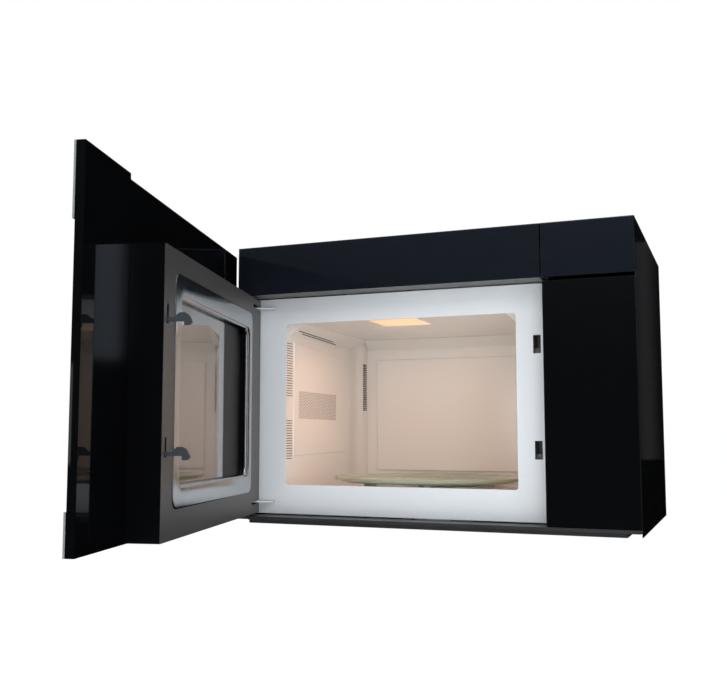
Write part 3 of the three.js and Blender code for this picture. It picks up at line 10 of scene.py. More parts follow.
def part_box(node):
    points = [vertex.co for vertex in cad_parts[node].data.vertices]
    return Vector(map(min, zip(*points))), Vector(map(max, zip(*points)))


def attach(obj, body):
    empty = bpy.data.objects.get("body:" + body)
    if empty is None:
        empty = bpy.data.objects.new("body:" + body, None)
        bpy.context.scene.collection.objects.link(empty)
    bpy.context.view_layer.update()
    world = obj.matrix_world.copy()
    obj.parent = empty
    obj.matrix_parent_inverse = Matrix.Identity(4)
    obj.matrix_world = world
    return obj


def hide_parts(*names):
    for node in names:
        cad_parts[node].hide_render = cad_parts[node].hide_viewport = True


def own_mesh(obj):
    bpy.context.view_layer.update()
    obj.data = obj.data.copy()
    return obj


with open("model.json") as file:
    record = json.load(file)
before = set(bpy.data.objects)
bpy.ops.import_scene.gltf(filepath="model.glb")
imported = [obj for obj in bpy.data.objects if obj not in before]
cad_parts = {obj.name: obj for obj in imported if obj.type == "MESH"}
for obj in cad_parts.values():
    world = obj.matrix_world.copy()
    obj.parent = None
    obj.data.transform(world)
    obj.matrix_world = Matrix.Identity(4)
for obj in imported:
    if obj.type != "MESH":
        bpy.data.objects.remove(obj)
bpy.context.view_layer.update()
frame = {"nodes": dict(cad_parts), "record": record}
nodes = frame["nodes"]
scene = bpy.context.scene
MM = 0.001
OPEN_ANGLE = math.radians(75.7)  # the door at rest, from shut
PIVOT = Vector((-0.291, -0.398, 0))  # the door's hinge line
PAN_FACE = -0.3853  # the pan's inner face, door shut
DOOR_EDGE = 0.303  # the door's latch-side edge, door shut
CLEAR_FROM = -0.12  # the inner glass is dark, dull and opaque from here to the hinge, door shut
PAINTED_GLOW_FROM = -0.1065  # the screen's glow is painted dimmer left of here: painted shade where the lamp's light doesn't reach
TRAY_CENTRE = (-52.15, -220.55, -151.4)  # millimetres
CAMERA_PLACE = (0.4263, -1.7456, -0.0860)
CAMERA_HEADING, CAMERA_LIFT, CAMERA_ROLL = 23.235, 5.564, 0.128  # degrees


# ------------------------------------------------------------------ camera, studio and floor


def place_camera():
    """The photograph's viewpoint: low, in front and to the right of the oven."""
    lens = bpy.data.cameras.new("studio_camera")
    lens.sensor_width = 36
    lens.lens = 47.19
    lens.shift_x = 0.0445
    lens.shift_y = -0.0055
    lens.clip_start = 0.05
    camera = bpy.data.objects.new("studio_camera", lens)
    scene.collection.objects.link(camera)
    turn = Matrix.Rotation(math.radians(CAMERA_HEADING), 4, "Z")
    tilt = Matrix.Rotation(math.radians(90 + CAMERA_LIFT), 4, "X")
    roll = Matrix.Rotation(math.radians(CAMERA_ROLL), 4, "Z")
    camera.matrix_world = Matrix.Translation(CAMERA_PLACE) @ turn @ tilt @ roll
    scene.camera = camera


def softbox(name, place, aim, size, power, colour=(1.0, 1.0, 1.0), mirrored=True):
    """A rectangular studio lamp that faces a point; some don't show in polished surfaces."""
    lamp = bpy.data.lights.new(name, "AREA")
    lamp.shape = "RECTANGLE"
    lamp.size, lamp.size_y = size
    lamp.energy = power
    lamp.color = colour
    box = bpy.data.objects.new(name, lamp)
    scene.collection.objects.link(box)
    towards = Vector(aim) - Vector(place)
    box.matrix_world = Matrix.Translation(place) @ towards.to_track_quat("-Z", "Y").to_matrix().to_4x4()
    box.visible_glossy = mirrored
    box.visible_camera = False


def light_studio():
    """White for the camera, graded for gloss, and a plain level for everything else."""
    scene.view_settings.view_transform = "Standard"
    world = bpy.data.worlds.new("studio")
    scene.world = world
    world.use_nodes = True
    tree = world.node_tree
    tree.nodes.clear()
    make = tree.nodes.new
    link = tree.links.new
    path = make("ShaderNodeLightPath")
    direction = make("ShaderNodeTexCoord")
    split = make("ShaderNodeSeparateXYZ")
    link(direction.outputs["Generated"], split.inputs[0])
    rise = make("ShaderNodeMapRange")
    rise.interpolation_type = "SMOOTHERSTEP"
    for name, value in {"From Min": 0.0, "From Max": 0.6, "To Min": 0.02, "To Max": 0.5}.items():
        rise.inputs[name].default_value = value
    link(split.outputs["Z"], rise.inputs["Value"])
    behind = make("ShaderNodeMapRange")
    for name, value in {"From Min": -0.3, "From Max": 0.6, "To Min": 1.0, "To Max": 0.03}.items():
        behind.inputs[name].default_value = value
    link(split.outputs["Y"], behind.inputs["Value"])
    dimmed = make("ShaderNodeMath")
    dimmed.operation = "MULTIPLY"
    link(rise.outputs["Result"], dimmed.inputs[0])
    link(behind.outputs["Result"], dimmed.inputs[1])
    plain = make("ShaderNodeBackground")
    plain.inputs["Color"].default_value = (0.95, 0.97, 1.0, 1)
    plain.inputs["Strength"].default_value = 0.7
    graded = make("ShaderNodeBackground")
    graded.inputs["Color"].default_value = (0.85, 0.93, 1.0, 1)
    link(dimmed.outputs[0], graded.inputs["Strength"])
    white = make("ShaderNodeBackground")
    white.inputs["Color"].default_value = (1, 1, 1, 1)
    white.inputs["Strength"].default_value = 1.0
    gloss = make("ShaderNodeMixShader")
    link(path.outputs["Is Glossy Ray"], gloss.inputs[0])
    link(plain.outputs[0], gloss.inputs[1])
    link(graded.outputs[0], gloss.inputs[2])
    seen = make("ShaderNodeMath")
    seen.operation = "MAXIMUM"
    link(path.outputs["Is Camera Ray"], seen.inputs[0])
    link(path.outputs["Is Transmission Ray"], seen.inputs[1])
    mix = make("ShaderNodeMixShader")
    link(seen.outputs[0], mix.inputs[0])
    link(gloss.outputs[0], mix.inputs[1])
    link(white.outputs[0], mix.inputs[2])
    out = make("ShaderNodeOutputWorld")
    link(mix.outputs[0], out.inputs["Surface"])
    middle = (0, -0.3, 0)
    softbox("key_softbox", (0.9, -2.9, 1.9), middle, (1.8, 1.2), 22, (1.0, 0.99, 0.98))
    softbox("front_softbox", (0.4, -3.2, -0.6), middle, (2.4, 2.0), 34, mirrored=False)
    softbox("fill_softbox", (2.6, -2.6, -0.2), middle, (0.7, 2.0), 11, (0.95, 0.98, 1.0))
    softbox("top_softbox", (0.2, -0.6, 2.6), middle, (2.0, 1.6), 20)
    softbox("low_softbox", (-0.76, -3.5, 0.0), (0.02, -0.06, -0.05), (0.18, 0.36), 1.3)
    softbox("high_softbox", (2.35, -4.2, 0.72), (-0.14, -0.97, 0.1), (0.22, 0.75), 5.5, (0.75, 0.86, 1.0))
    softbox("side_card", (0.555, 2.6, 0.3), (0.303, -0.3, 0), (0.063, 0.95), 0.006, (0.95, 0.95, 1.0))
    softbox("rear_softbox", (-2.0, 2.6, 1.3), (0, 0, 0), (1.6, 1.2), 24)


def lay_floor():
    """Pale floor far below, as under a cabinet on the wall; it keeps the shadow."""
    bpy.ops.mesh.primitive_plane_add(size=14, location=(0, 1.5, -1.45))
    floor = bpy.context.object
    floor.name = "studio_floor"
    paint = bpy.data.materials.new("floor_paint")
    paint.use_nodes = True
    tree = paint.node_tree
    tree.nodes.clear()
    path = tree.nodes.new("ShaderNodeLightPath")
    seen = tree.nodes.new("ShaderNodeMath")
    seen.operation = "MAXIMUM"
    tree.links.new(path.outputs["Is Camera Ray"], seen.inputs[0])
    tree.links.new(path.outputs["Is Transmission Ray"], seen.inputs[1])
    share = tree.nodes.new("ShaderNodeMath")
    share.operation = "MULTIPLY"
    share.inputs[1].default_value = 0.85
    tree.links.new(seen.outputs[0], share.inputs[0])
    diffuse = tree.nodes.new("ShaderNodeBsdfDiffuse")
    diffuse.inputs["Color"].default_value = (0.9, 0.9, 0.9, 1)
    glow = tree.nodes.new("ShaderNodeEmission")
    glow.inputs["Strength"].default_value = 1.15
    mix = tree.nodes.new("ShaderNodeMixShader")
    tree.links.new(share.outputs[0], mix.inputs[0])
    tree.links.new(diffuse.outputs[0], mix.inputs[1])
    tree.links.new(glow.outputs[0], mix.inputs[2])
    out = tree.nodes.new("ShaderNodeOutputMaterial")
    tree.links.new(mix.outputs[0], out.inputs["Surface"])
    floor.data.materials.append(paint)
    floor.visible_glossy = False


# ------------------------------------------------------------------ finishes


class Finish:
    """One procedural material, built up node by node on Object coordinates."""

    def __init__(self, name, colour, roughness, metallic=0.0):
        self.material = bpy.data.materials.new(name)
        self.material.use_nodes = True
        self.tree = self.material.node_tree
        self.shader = self.tree.nodes["Principled BSDF"]
        self.colour = colour
        self.set("Base Color", (*colour, 1))
        self.set("Roughness", roughness)
        self.set("Metallic", metallic)
        self.place = self.add("ShaderNodeTexCoord").outputs["Object"]
        self.height = None

    def add(self, kind, **values):
        node = self.tree.nodes.new(kind)
        for key, value in values.items():
            setattr(node, key, value)
        return node

    def link(self, source, target):
        self.tree.links.new(source, target)

    def set(self, socket, value):
        self.shader.inputs[socket].default_value = value

    def noise(self, scale, detail=3.0, stretch=(1, 1, 1)):
        mapping = self.add("ShaderNodeMapping")
        mapping.inputs["Scale"].default_value = stretch
        self.link(self.place, mapping.inputs["Vector"])
        noise = self.add("ShaderNodeTexNoise")
        noise.inputs["Scale"].default_value = scale
        noise.inputs["Detail"].default_value = detail
        self.link(mapping.outputs[0], noise.inputs["Vector"])
        return noise.outputs["Fac"]

    def ranged(self, source, low, high, start=0.3, end=0.7):
        span = self.add("ShaderNodeMapRange")
        span.inputs["From Min"].default_value = start
        span.inputs["From Max"].default_value = end
        span.inputs["To Min"].default_value = low
        span.inputs["To Max"].default_value = high
        self.link(source, span.inputs["Value"])
        return span.outputs["Result"]

    def blend_colours(self, factor, first, second):
        """One colour or the other, or anything between; each is a fixed colour or a socket."""
        mix = self.add("ShaderNodeMix", data_type="RGBA")
        self.link(factor, mix.inputs[0])
        sides = [socket for socket in mix.inputs if socket.type == "RGBA"]
        for side, colour in zip(sides, (first, second)):
            if isinstance(colour, tuple):
                side.default_value = (*colour, 1)
            else:
                self.link(colour, side)
        return [out for out in mix.outputs if out.type == "RGBA"][0]

    def vary_colour(self, source, other, start=0.3, end=0.7):
        result = self.blend_colours(self.ranged(source, 0.0, 1.0, start, end), self.colour, other)
        self.link(result, self.shader.inputs["Base Color"])

    def vary_roughness(self, source, low, high):
        self.link(self.ranged(source, low, high), self.shader.inputs["Roughness"])

    def beyond(self, axis, limit, closed=False):
        """1 past a plane across X, Y or Z; for the door's pieces the plane is given with the door shut."""
        place = self.place
        if closed:
            turn = self.add("ShaderNodeMapping")
            turn.inputs["Rotation"].default_value = (0, 0, OPEN_ANGLE)
            turn.inputs["Location"].default_value = PIVOT - Matrix.Rotation(OPEN_ANGLE, 3, "Z") @ PIVOT
            self.link(place, turn.inputs["Vector"])
            place = turn.outputs[0]
        split = self.add("ShaderNodeSeparateXYZ")
        self.link(place, split.inputs[0])
        test = self.add("ShaderNodeMath", operation="GREATER_THAN")
        test.inputs[1].default_value = limit
        self.link(split.outputs[axis], test.inputs[0])
        return test.outputs[0]

    def mixed(self, factor, first, second):
        """One value or the other, or anything between."""
        span = self.add("ShaderNodeMapRange")
        span.inputs["To Min"].default_value = first
        span.inputs["To Max"].default_value = second
        self.link(factor, span.inputs["Value"])
        return span.outputs["Result"]

    def emboss(self, source, strength, distance):
        bump = self.add("ShaderNodeBump")
        bump.inputs["Strength"].default_value = strength
        bump.inputs["Distance"].default_value = distance
        self.link(source, bump.inputs["Height"])
        if self.height is not None:
            self.link(self.height, bump.inputs["Normal"])
        self.height = bump.outputs[0]
        self.link(self.height, self.shader.inputs["Normal"])


def gloss_enamel(name, colour, other, roughness, peel=0.04, specular=0.5):
    """Sprayed gloss paint: faint orange peel and a little handling haze."""
    paint = Finish(name, colour, roughness)
    paint.set("Specular IOR Level", specular)
    paint.vary_colour(paint.noise(38, 4), other, 0.2, 0.8)
    paint.vary_roughness(paint.noise(52, 4), roughness * 0.92, roughness * 1.1)
    paint.emboss(paint.noise(420, 2), peel, 0.0002)
    return paint.material


def grained_plastic(name, colour, other, roughness):
    """Moulded plastic with a fine spark-eroded grain."""
    plastic = Finish(name, colour, roughness)
    plastic.vary_colour(plastic.noise(25, 3), other)
    plastic.vary_roughness(plastic.noise(60, 3), roughness * 0.85, roughness * 1.15)
    plastic.emboss(plastic.noise(1600, 2), 0.25, 0.0002)
    return plastic.material


def rolled_metal(name, colour, other, roughness, stretch=(1, 1, 1), scale=300, metallic=1.0):
    """Bare sheet with rolling lines along one axis."""
    metal = Finish(name, colour, roughness, metallic)
    metal.vary_colour(metal.noise(12, 3), other)
    lines = metal.noise(scale, 3, stretch)
    metal.vary_roughness(lines, roughness * 0.75, roughness * 1.3)
    metal.emboss(lines, 0.08, 0.0002)
    return metal.material


def spangled_steel():
    """Zinc-coated sheet with its crystal pattern."""
    metal = Finish("zinc_coated_steel", (0.55, 0.57, 0.58), 0.38, 0.55)
    cells = metal.add("ShaderNodeTexVoronoi")
    cells.inputs["Scale"].default_value = 110
    metal.link(metal.place, cells.inputs["Vector"])
    spread = metal.add("ShaderNodeSeparateColor")
    metal.link(cells.outputs["Color"], spread.inputs[0])
    metal.vary_colour(spread.outputs[0], (0.63, 0.65, 0.66), 0.0, 1.0)
    span = metal.ranged(spread.outputs[1], 0.28, 0.48, 0.0, 1.0)
    metal.link(span, metal.shader.inputs["Roughness"])
    metal.emboss(metal.noise(500, 2), 0.04, 0.0002)
    return metal.material


GLOSS_BLACK = (0.002, 0.0022, 0.0027)


def pan_finish():
    """The pan: fine sandy warm grey on its inner face, gloss black on its folded sides."""
    paint = Finish("sandy_grey_and_black", GLOSS_BLACK, 0.06)
    face = paint.beyond("Y", PAN_FACE - 0.0004, closed=True)
    sand = paint.blend_colours(paint.noise(900, 2), (0.047, 0.044, 0.043), (0.068, 0.064, 0.062))
    paint.link(paint.blend_colours(face, GLOSS_BLACK, sand), paint.shader.inputs["Base Color"])
    paint.link(paint.mixed(face, 0.06, 0.38), paint.shader.inputs["Roughness"])
    grain = paint.add("ShaderNodeMath", operation="MULTIPLY")
    paint.link(paint.noise(1500, 3), grain.inputs[0])
    paint.link(face, grain.inputs[1])
    paint.emboss(grain.outputs[0], 0.25, 0.0002)
    return paint.material


def pane_finish():
    """Back-printed black pane; the bare glass shows grey along its latch-side edge."""
    pane = Finish("back_printed_glass", GLOSS_BLACK, 0.02)
    edge = pane.beyond("X", DOOR_EDGE - 0.0005, closed=True)
    tint = pane.blend_colours(edge, GLOSS_BLACK, (0.2, 0.215, 0.21))
    pane.link(tint, pane.shader.inputs["Base Color"])
    pane.vary_roughness(pane.noise(40, 3), 0.018, 0.03)
    return pane.material


def window_pane():
    """The inner glass, clear but for a dark, dull, opaque band towards the hinge."""
    pane = Finish("window_glass", (0.9, 0.92, 0.92), 0.01)
    clear = pane.beyond("X", CLEAR_FROM, closed=True)
    pane.link(pane.blend_colours(clear, GLOSS_BLACK, pane.colour), pane.shader.inputs["Base Color"])
    pane.link(pane.mixed(clear, 0.0, 1.0), pane.shader.inputs["Transmission Weight"])
    pane.link(pane.mixed(clear, 0.3, 0.012), pane.shader.inputs["Roughness"])
    pane.link(pane.mixed(clear, 0.08, 0.5), pane.shader.inputs["Specular IOR Level"])
    pane.link(pane.mixed(clear, 0.0, 0.8), pane.shader.inputs["Coat Weight"])
    pane.set("IOR", 1.5)
    return pane.material


def tray_glass():
    """Cast glass: a green body, satin underneath, with fine turned rings."""
    cast = Finish("cast_tray_glass", (0.60, 0.67, 0.53), 0.1)
    cast.set("Transmission Weight", 0.5)
    cast.set("IOR", 1.45)
    centred = cast.add("ShaderNodeMapping")
    centred.inputs["Location"].default_value = [-value * MM for value in TRAY_CENTRE]
    cast.link(cast.place, centred.inputs["Vector"])
    rings = cast.add("ShaderNodeTexWave", wave_type="RINGS", rings_direction="Z")
    rings.inputs["Scale"].default_value = 45
    cast.link(centred.outputs[0], rings.inputs["Vector"])
    cast.emboss(rings.outputs["Fac"], 0.2, 0.0004)
    cast.vary_colour(cast.noise(30, 3), (0.66, 0.72, 0.6))
    return cast.material


def fluted_lens():
    """Clear moulded lens with fine flutes across it."""
    lens = Finish("fluted_lens", (0.88, 0.9, 0.9), 0.12)
    lens.set("Transmission Weight", 0.8)
    flutes = lens.add("ShaderNodeTexWave", wave_type="BANDS", bands_direction="X")
    flutes.inputs["Scale"].default_value = 110
    lens.link(lens.place, flutes.inputs["Vector"])
    lens.emboss(flutes.outputs["Fac"], 0.7, 0.0008)
    return lens.material


def lit_digits():
    """Pale blue-white segments of the display."""
    segment = Finish("lit_digits", (0.5, 0.7, 0.75), 0.4)
    segment.set("Emission Color", (0.55, 0.85, 0.95, 1))
    segment.set("Emission Strength", 0.9)
    segment.vary_roughness(segment.noise(200, 2), 0.35, 0.45)
    return segment.material


def lit_lamp():
    """The oven lamp's glass, switched on."""
    lamp = Finish("lit_bulb_glass", (1.0, 0.82, 0.55), 0.3)
    lamp.set("Emission Color", (1.0, 0.66, 0.3, 1))
    lamp.set("Emission Strength", 6.0)
    lamp.vary_roughness(lamp.noise(80, 2), 0.25, 0.35)
    return lamp.material


def plain_bulb():
    """The cooktop lamp's frosted glass, switched off."""
    bulb = Finish("frosted_bulb_glass", (0.7, 0.69, 0.66), 0.4)
    bulb.vary_colour(bulb.noise(120, 3), (0.62, 0.61, 0.58))
    bulb.emboss(bulb.noise(600, 2), 0.1, 0.0002)
    return bulb.material


def painted_glow_mesh():
    """Perforated sheet over the oven lamp: orange metal with staggered holes. Its glow is painted light by
    emission, brighter in the holes and painted dimmer at the left end.
    """
    sheet = Finish("lamp_screen_painted_glow", (0.8, 0.6, 0.42), 0.4)
    turn = sheet.add("ShaderNodeMapping")
    turn.inputs["Rotation"].default_value = (0, 0, math.radians(45))
    turn.inputs["Scale"].default_value = (300, 300, 300)
    sheet.link(sheet.place, turn.inputs["Vector"])
    cells = sheet.add("ShaderNodeTexVoronoi")
    cells.inputs["Randomness"].default_value = 0.0
    cells.inputs["Scale"].default_value = 1.0
    cells.voronoi_dimensions = "2D"
    sheet.link(turn.outputs[0], cells.inputs["Vector"])
    hole = sheet.ranged(cells.outputs["Distance"], 1.0, 0.0, 0.3, 0.38)
    # Painted light: the web and the holes glow by emission, standing in for the lamp's light on and through
    # the sheet.
    glow = sheet.blend_colours(hole, (0.66, 0.27, 0.09), (1.0, 0.8, 0.5))
    # Painted shade: a dimmer glow for the left end, out of the lamp's light.
    painted_dim_end = sheet.blend_colours(hole, (0.3, 0.22, 0.16), (0.03, 0.025, 0.02))
    lit = sheet.beyond("X", PAINTED_GLOW_FROM)
    sheet.link(sheet.blend_colours(lit, painted_dim_end, glow), sheet.shader.inputs["Emission Color"])
    sheet.set("Emission Strength", 0.8)
    return sheet.material


def charcoal_grains():
    """Loose black granules behind the filter's face."""
    grains = Finish("charcoal_grains", (0.03, 0.031, 0.033), 0.85)
    grains.vary_colour(grains.noise(700, 2), (0.055, 0.056, 0.06))
    grains.emboss(grains.noise(450, 2), 0.9, 0.0015)
    return grains.material


def circuit_board():
    """Green lacquer with lighter patches over the copper."""
    board = Finish("green_solder_mask", (0.03, 0.12, 0.055), 0.35)
    board.vary_colour(board.noise(220, 0), (0.05, 0.2, 0.09), 0.45, 0.55)
    board.emboss(board.noise(220, 0), 0.2, 0.0002)
    return board.material


def mica_sheet():
    """Pressed brown mica with its mottled grain."""
    sheet = Finish("mica_sheet", (0.62, 0.56, 0.45), 0.45)
    sheet.vary_colour(sheet.noise(90, 4), (0.48, 0.42, 0.33))
    sheet.emboss(sheet.noise(300, 3), 0.15, 0.0002)
    return sheet.material


finishes = {
    "black_enamel": gloss_enamel(
        "black_gloss_enamel", (0.003, 0.0032, 0.0038), (0.005, 0.0053, 0.006), 0.07
    ),
    "fascia_gloss": gloss_enamel(
        "blue_black_gloss", (0.005, 0.0068, 0.0102), (0.006, 0.008, 0.012), 0.07, 0.01
    ),
    "door_gloss": gloss_enamel(
        "black_gloss_plastic", (0.0017, 0.0019, 0.0023), (0.0022, 0.0025, 0.003), 0.04, 0.01
    ),
    "door_frame_gloss": gloss_enamel(
        "door_frame_gloss", (0.0015, 0.0017, 0.002), (0.002, 0.0022, 0.0026), 0.04, 0.01, 0.08
    ),
    "black_plastic": grained_plastic(
        "black_grained_plastic", (0.018, 0.019, 0.021), (0.026, 0.027, 0.03), 0.42
    ),
    "grey_plastic": grained_plastic("grey_grained_plastic", (0.11, 0.11, 0.112), (0.14, 0.14, 0.142), 0.45),
    "white_enamel": gloss_enamel("white_gloss_enamel", (0.7, 0.73, 0.755), (0.69, 0.72, 0.745), 0.2),
    "oven_enamel": gloss_enamel("pale_oven_enamel", (0.78, 0.755, 0.735), (0.77, 0.745, 0.725), 0.15),
    "pan_paint": pan_finish(),
    "bright_trim": rolled_metal(
        "bright_trim_metal", (0.46, 0.47, 0.485), (0.43, 0.44, 0.455), 0.15, (1, 1, 1), 60
    ),
    "sheet_steel": spangled_steel(),
    "dark_steel": rolled_metal(
        "varnished_dark_steel", (0.09, 0.092, 0.1), (0.06, 0.06, 0.065), 0.4, (1, 1, 30), 60
    ),
    "aluminium": rolled_metal(
        "mill_aluminium", (0.72, 0.73, 0.74), (0.64, 0.65, 0.66), 0.36, (40, 1, 1), 30, 0.5
    ),
    "clear_glass": tray_glass(),
    "window_glass": window_pane(),
    "black_glass": pane_finish(),
    "white_plastic": grained_plastic("white_moulded_plastic", (0.78, 0.79, 0.79), (0.72, 0.73, 0.73), 0.4),
    "lamp": lit_lamp(),
    "mica": mica_sheet(),
    "board": circuit_board(),
    "carbon": charcoal_grains(),
    "plain_bulb": plain_bulb(),
    "painted_glow_mesh": painted_glow_mesh(),
    # Painted shade: the dark bars and studs that stand for slits and holes take the colour of the shade
    # inside them; the small holes' warmer, lighter copy is painted lamplight in them.
    "hole": grained_plastic("hole_painted_shade", (0.045, 0.04, 0.036), (0.035, 0.031, 0.028), 0.7),
    "painted_lit_hole": grained_plastic("small_hole_painted_light", (0.1, 0.073, 0.052), (0.08, 0.058, 0.042), 0.7),
    "hook_plastic": grained_plastic(
        "dark_hook_plastic", (0.028, 0.033, 0.041), (0.034, 0.04, 0.049), 0.33
    ),
    "screw_steel": rolled_metal("screw_steel", (0.45, 0.46, 0.47), (0.36, 0.37, 0.38), 0.3),
    "fluted_lens": fluted_lens(),
    "lit_digits": lit_digits(),
    "key_print": grained_plastic("pale_key_print", (0.5, 0.52, 0.54), (0.46, 0.48, 0.5), 0.5),
}

# Nodes whose finish is more particular than their slot's; the latch board's grey, darker than its own
# white, is painted shade behind the frame's slots.
own_finish = {
    "cooktop_lamp": "plain_bulb", "lamp_screen": "painted_glow_mesh", "latch_lever": "hook_plastic",
    "cooktop_lens": "fluted_lens", "latch_board": "grey_plastic", "door_frame": "door_frame_gloss",
}


def dress_nodes():
    """Each carried-over solid takes the finish of its slot."""
    for entry in frame["record"]["subparts"]:
        solid = nodes[entry["node"]]
        solid.data.materials.clear()
        solid.data.materials.append(finishes[own_finish.get(entry["node"], entry["material_slot"])])


# ------------------------------------------------------------------ bench tools


def only(*pieces):
    """Nothing else is selected while these are worked on."""
    if bpy.context.mode != "OBJECT":
        bpy.ops.object.mode_set(mode="OBJECT")
    bpy.ops.object.select_all(action="DESELECT")
    for piece in pieces:
        piece.select_set(True)
    bpy.context.view_layer.objects.active = pieces[0]


slot_of = {entry["node"]: entry["material_slot"] for entry in frame["record"]["subparts"]}
body_of = {
    node: body
    for body, members in frame["record"]["behaviour"]["bodies"].items()
    for node in members
}


def working_copy(node, name):
    """A merged, flat-faced copy of a node's solid to build its finished form on."""
    only(nodes[node])
    bpy.ops.object.duplicate()
    piece = bpy.context.object
    piece.name = name
    piece.parent = None
    for key in list(piece.keys()):
        if key.startswith("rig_"):
            del piece[key]
    piece.data = piece.data.copy()
    only(piece)
    bpy.ops.object.mode_set(mode="EDIT")
    bpy.ops.mesh.select_all(action="SELECT")
    bpy.ops.mesh.remove_doubles(threshold=0.00001)
    bpy.ops.mesh.dissolve_limited(angle_limit=math.radians(0.6), use_dissolve_boundaries=False)
    bpy.ops.object.mode_set(mode="OBJECT")
    if piece.data.has_custom_normals:
        bpy.ops.mesh.customdata_custom_splitnormals_clear()
    return piece


def smooth_rounds(piece, angle=40):
    """Rounded edges are shaded smooth while the large flats stay flat."""
    only(piece)
    bpy.ops.object.shade_smooth_by_angle(angle=math.radians(angle))
    level = piece.modifiers.new("level_flats", "WEIGHTED_NORMAL")
    level.keep_sharp = True
    level.weight = 100
    bpy.ops.object.modifier_apply(modifier=level.name)


def round_edges(piece, width, segments=2, angle=35):
    """A small radius on every sharp edge."""
    only(piece)
    bevel = piece.modifiers.new("edge_radius", "BEVEL")
    bevel.width = width
    bevel.segments = segments
    bevel.limit_method = "ANGLE"
    bevel.angle_limit = math.radians(angle)
    bevel.miter_outer = "MITER_ARC"
    bpy.ops.object.modifier_apply(modifier=bevel.name)
    smooth_rounds(piece)


def stand_for(piece, node):
    """The finished piece takes a node's place, body and slot."""
    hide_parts(node)
    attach(piece, body_of[node])
    piece.data.materials.clear()
    piece.data.materials.append(finishes[own_finish.get(node, slot_of[node])])
    return piece


def eased(node, width):
    """A node's own form with its edges eased, as folding or moulding leaves them."""
    piece = working_copy(node, node + "_eased")
    round_edges(piece, width)
    return stand_for(piece, node)


def settle(piece):
    """The piece's place goes into its mesh."""
    only(piece)
    bpy.ops.object.transform_apply(location=True, rotation=True, scale=True)
    return piece


def fit(piece, body, slot, finish=None):
    """A new piece rides on its body and takes its finish."""
    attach(piece, body)
    piece.data.materials.clear()
    piece.data.materials.append(finishes[finish or slot])
    return piece


def hang_on_door(piece):
    """A piece made for the shut door, turned to where the door stands open."""
    only(piece)
    opened = Matrix.Rotation(-OPEN_ANGLE, 4, "Z")
    piece.matrix_world = Matrix.Translation(PIVOT) @ opened @ Matrix.Translation(-PIVOT)
    return settle(piece)


def bar(name, low, high, edge, segments=2):
    """A bar between two corners in millimetres, with rounded edges."""
    centre = (Vector(low) + Vector(high)) / 2 * MM
    size = (Vector(high) - Vector(low)) * MM
    bpy.ops.object.select_all(action="DESELECT")
    bpy.ops.mesh.primitive_cube_add(size=1, location=centre)
    piece = bpy.context.object
    piece.name = name
    piece.scale = size
    settle(piece)
    if edge:
        round_edges(piece, edge * MM, segments)
    return piece


TURNS = {"x": (0, math.pi / 2, 0), "y": (math.pi / 2, 0, 0), "z": (0, 0, 0)}


def stud(name, axis, centre, radius, length, edge, sides=24):
    """A round stud along one axis, in millimetres, with rounded rims."""
    bpy.ops.object.select_all(action="DESELECT")
    bpy.ops.mesh.primitive_cylinder_add(
        vertices=sides, radius=radius * MM, depth=length * MM,
        location=Vector(centre) * MM, rotation=TURNS[axis],
    )
    piece = bpy.context.object
    piece.name = name
    settle(piece)
    if edge:
        round_edges(piece, edge * MM, 2, 50)
    return piece


def joined(name, pieces):
    """Several pieces made into one."""
    only(*pieces)
    if len(pieces) > 1:
        bpy.ops.object.join()
    piece = bpy.context.object
    piece.name = name
    return piece


def row_of(piece, count, step):
    """The piece repeated along a step in millimetres."""
    only(piece)
    array = piece.modifiers.new("row", "ARRAY")
    array.use_relative_offset = False
    array.use_constant_offset = True
    array.constant_offset_displace = Vector(step) * MM
    array.count = count
    bpy.ops.object.modifier_apply(modifier=array.name)
    return piece


def copy_of(piece, shift):
    """A second piece with its own mesh, moved in millimetres."""
    only(piece)
    bpy.ops.object.duplicate()
    other = bpy.context.object
    other.location = Vector(shift) * MM
    return settle(other)


def trimmed(piece, planes):
    """Everything on the far side of each plane (point, normal; metres) is cut away."""
    only(piece)
    bpy.ops.object.mode_set(mode="EDIT")
    for point, normal, fill in planes:
        bpy.ops.mesh.select_all(action="SELECT")
        facing = Vector(normal).normalized()
        bpy.ops.mesh.bisect(plane_co=point, plane_no=facing, clear_outer=True, use_fill=fill)
    bpy.ops.object.mode_set(mode="OBJECT")
    return piece


def punched_sheet(name, width, height, pitch, web, thickness):
    """A flat sheet with square holes set on the diagonal, centred on the origin, facing up."""
    span = (width + height) * 1.05
    cells = int(span / pitch)
    bpy.ops.object.select_all(action="DESELECT")
    bpy.ops.mesh.primitive_grid_add(
        x_subdivisions=cells, y_subdivisions=cells, size=cells * pitch * MM,
        rotation=(0, 0, math.radians(45)),
    )
    sheet = bpy.context.object
    sheet.name = name
    settle(sheet)
    halves = (width / 2 * MM, height / 2 * MM)
    trimmed(sheet, [
        ((halves[0], 0, 0), (1, 0, 0), False), ((-halves[0], 0, 0), (-1, 0, 0), False),
        ((0, halves[1], 0), (0, 1, 0), False), ((0, -halves[1], 0), (0, -1, 0), False),
    ])
    bpy.ops.object.mode_set(mode="EDIT")
    bpy.ops.mesh.select_all(action="SELECT")
    bpy.ops.mesh.inset(use_individual=True, thickness=web * MM, use_even_offset=True)
    bpy.ops.mesh.delete(type="FACE")
    bpy.ops.object.mode_set(mode="OBJECT")
    wall = sheet.modifiers.new("wall", "SOLIDIFY")
    wall.thickness = thickness * MM
    wall.offset = 0
    bpy.ops.object.modifier_apply(modifier=wall.name)
    return sheet


def placed(piece, matrix):
    """A piece made at the origin, carried to its place and turn."""
    piece.matrix_world = matrix
    return settle(piece)


# ------------------------------------------------------------------ pieces


place_camera()
light_studio()
lay_floor()
dress_nodes()

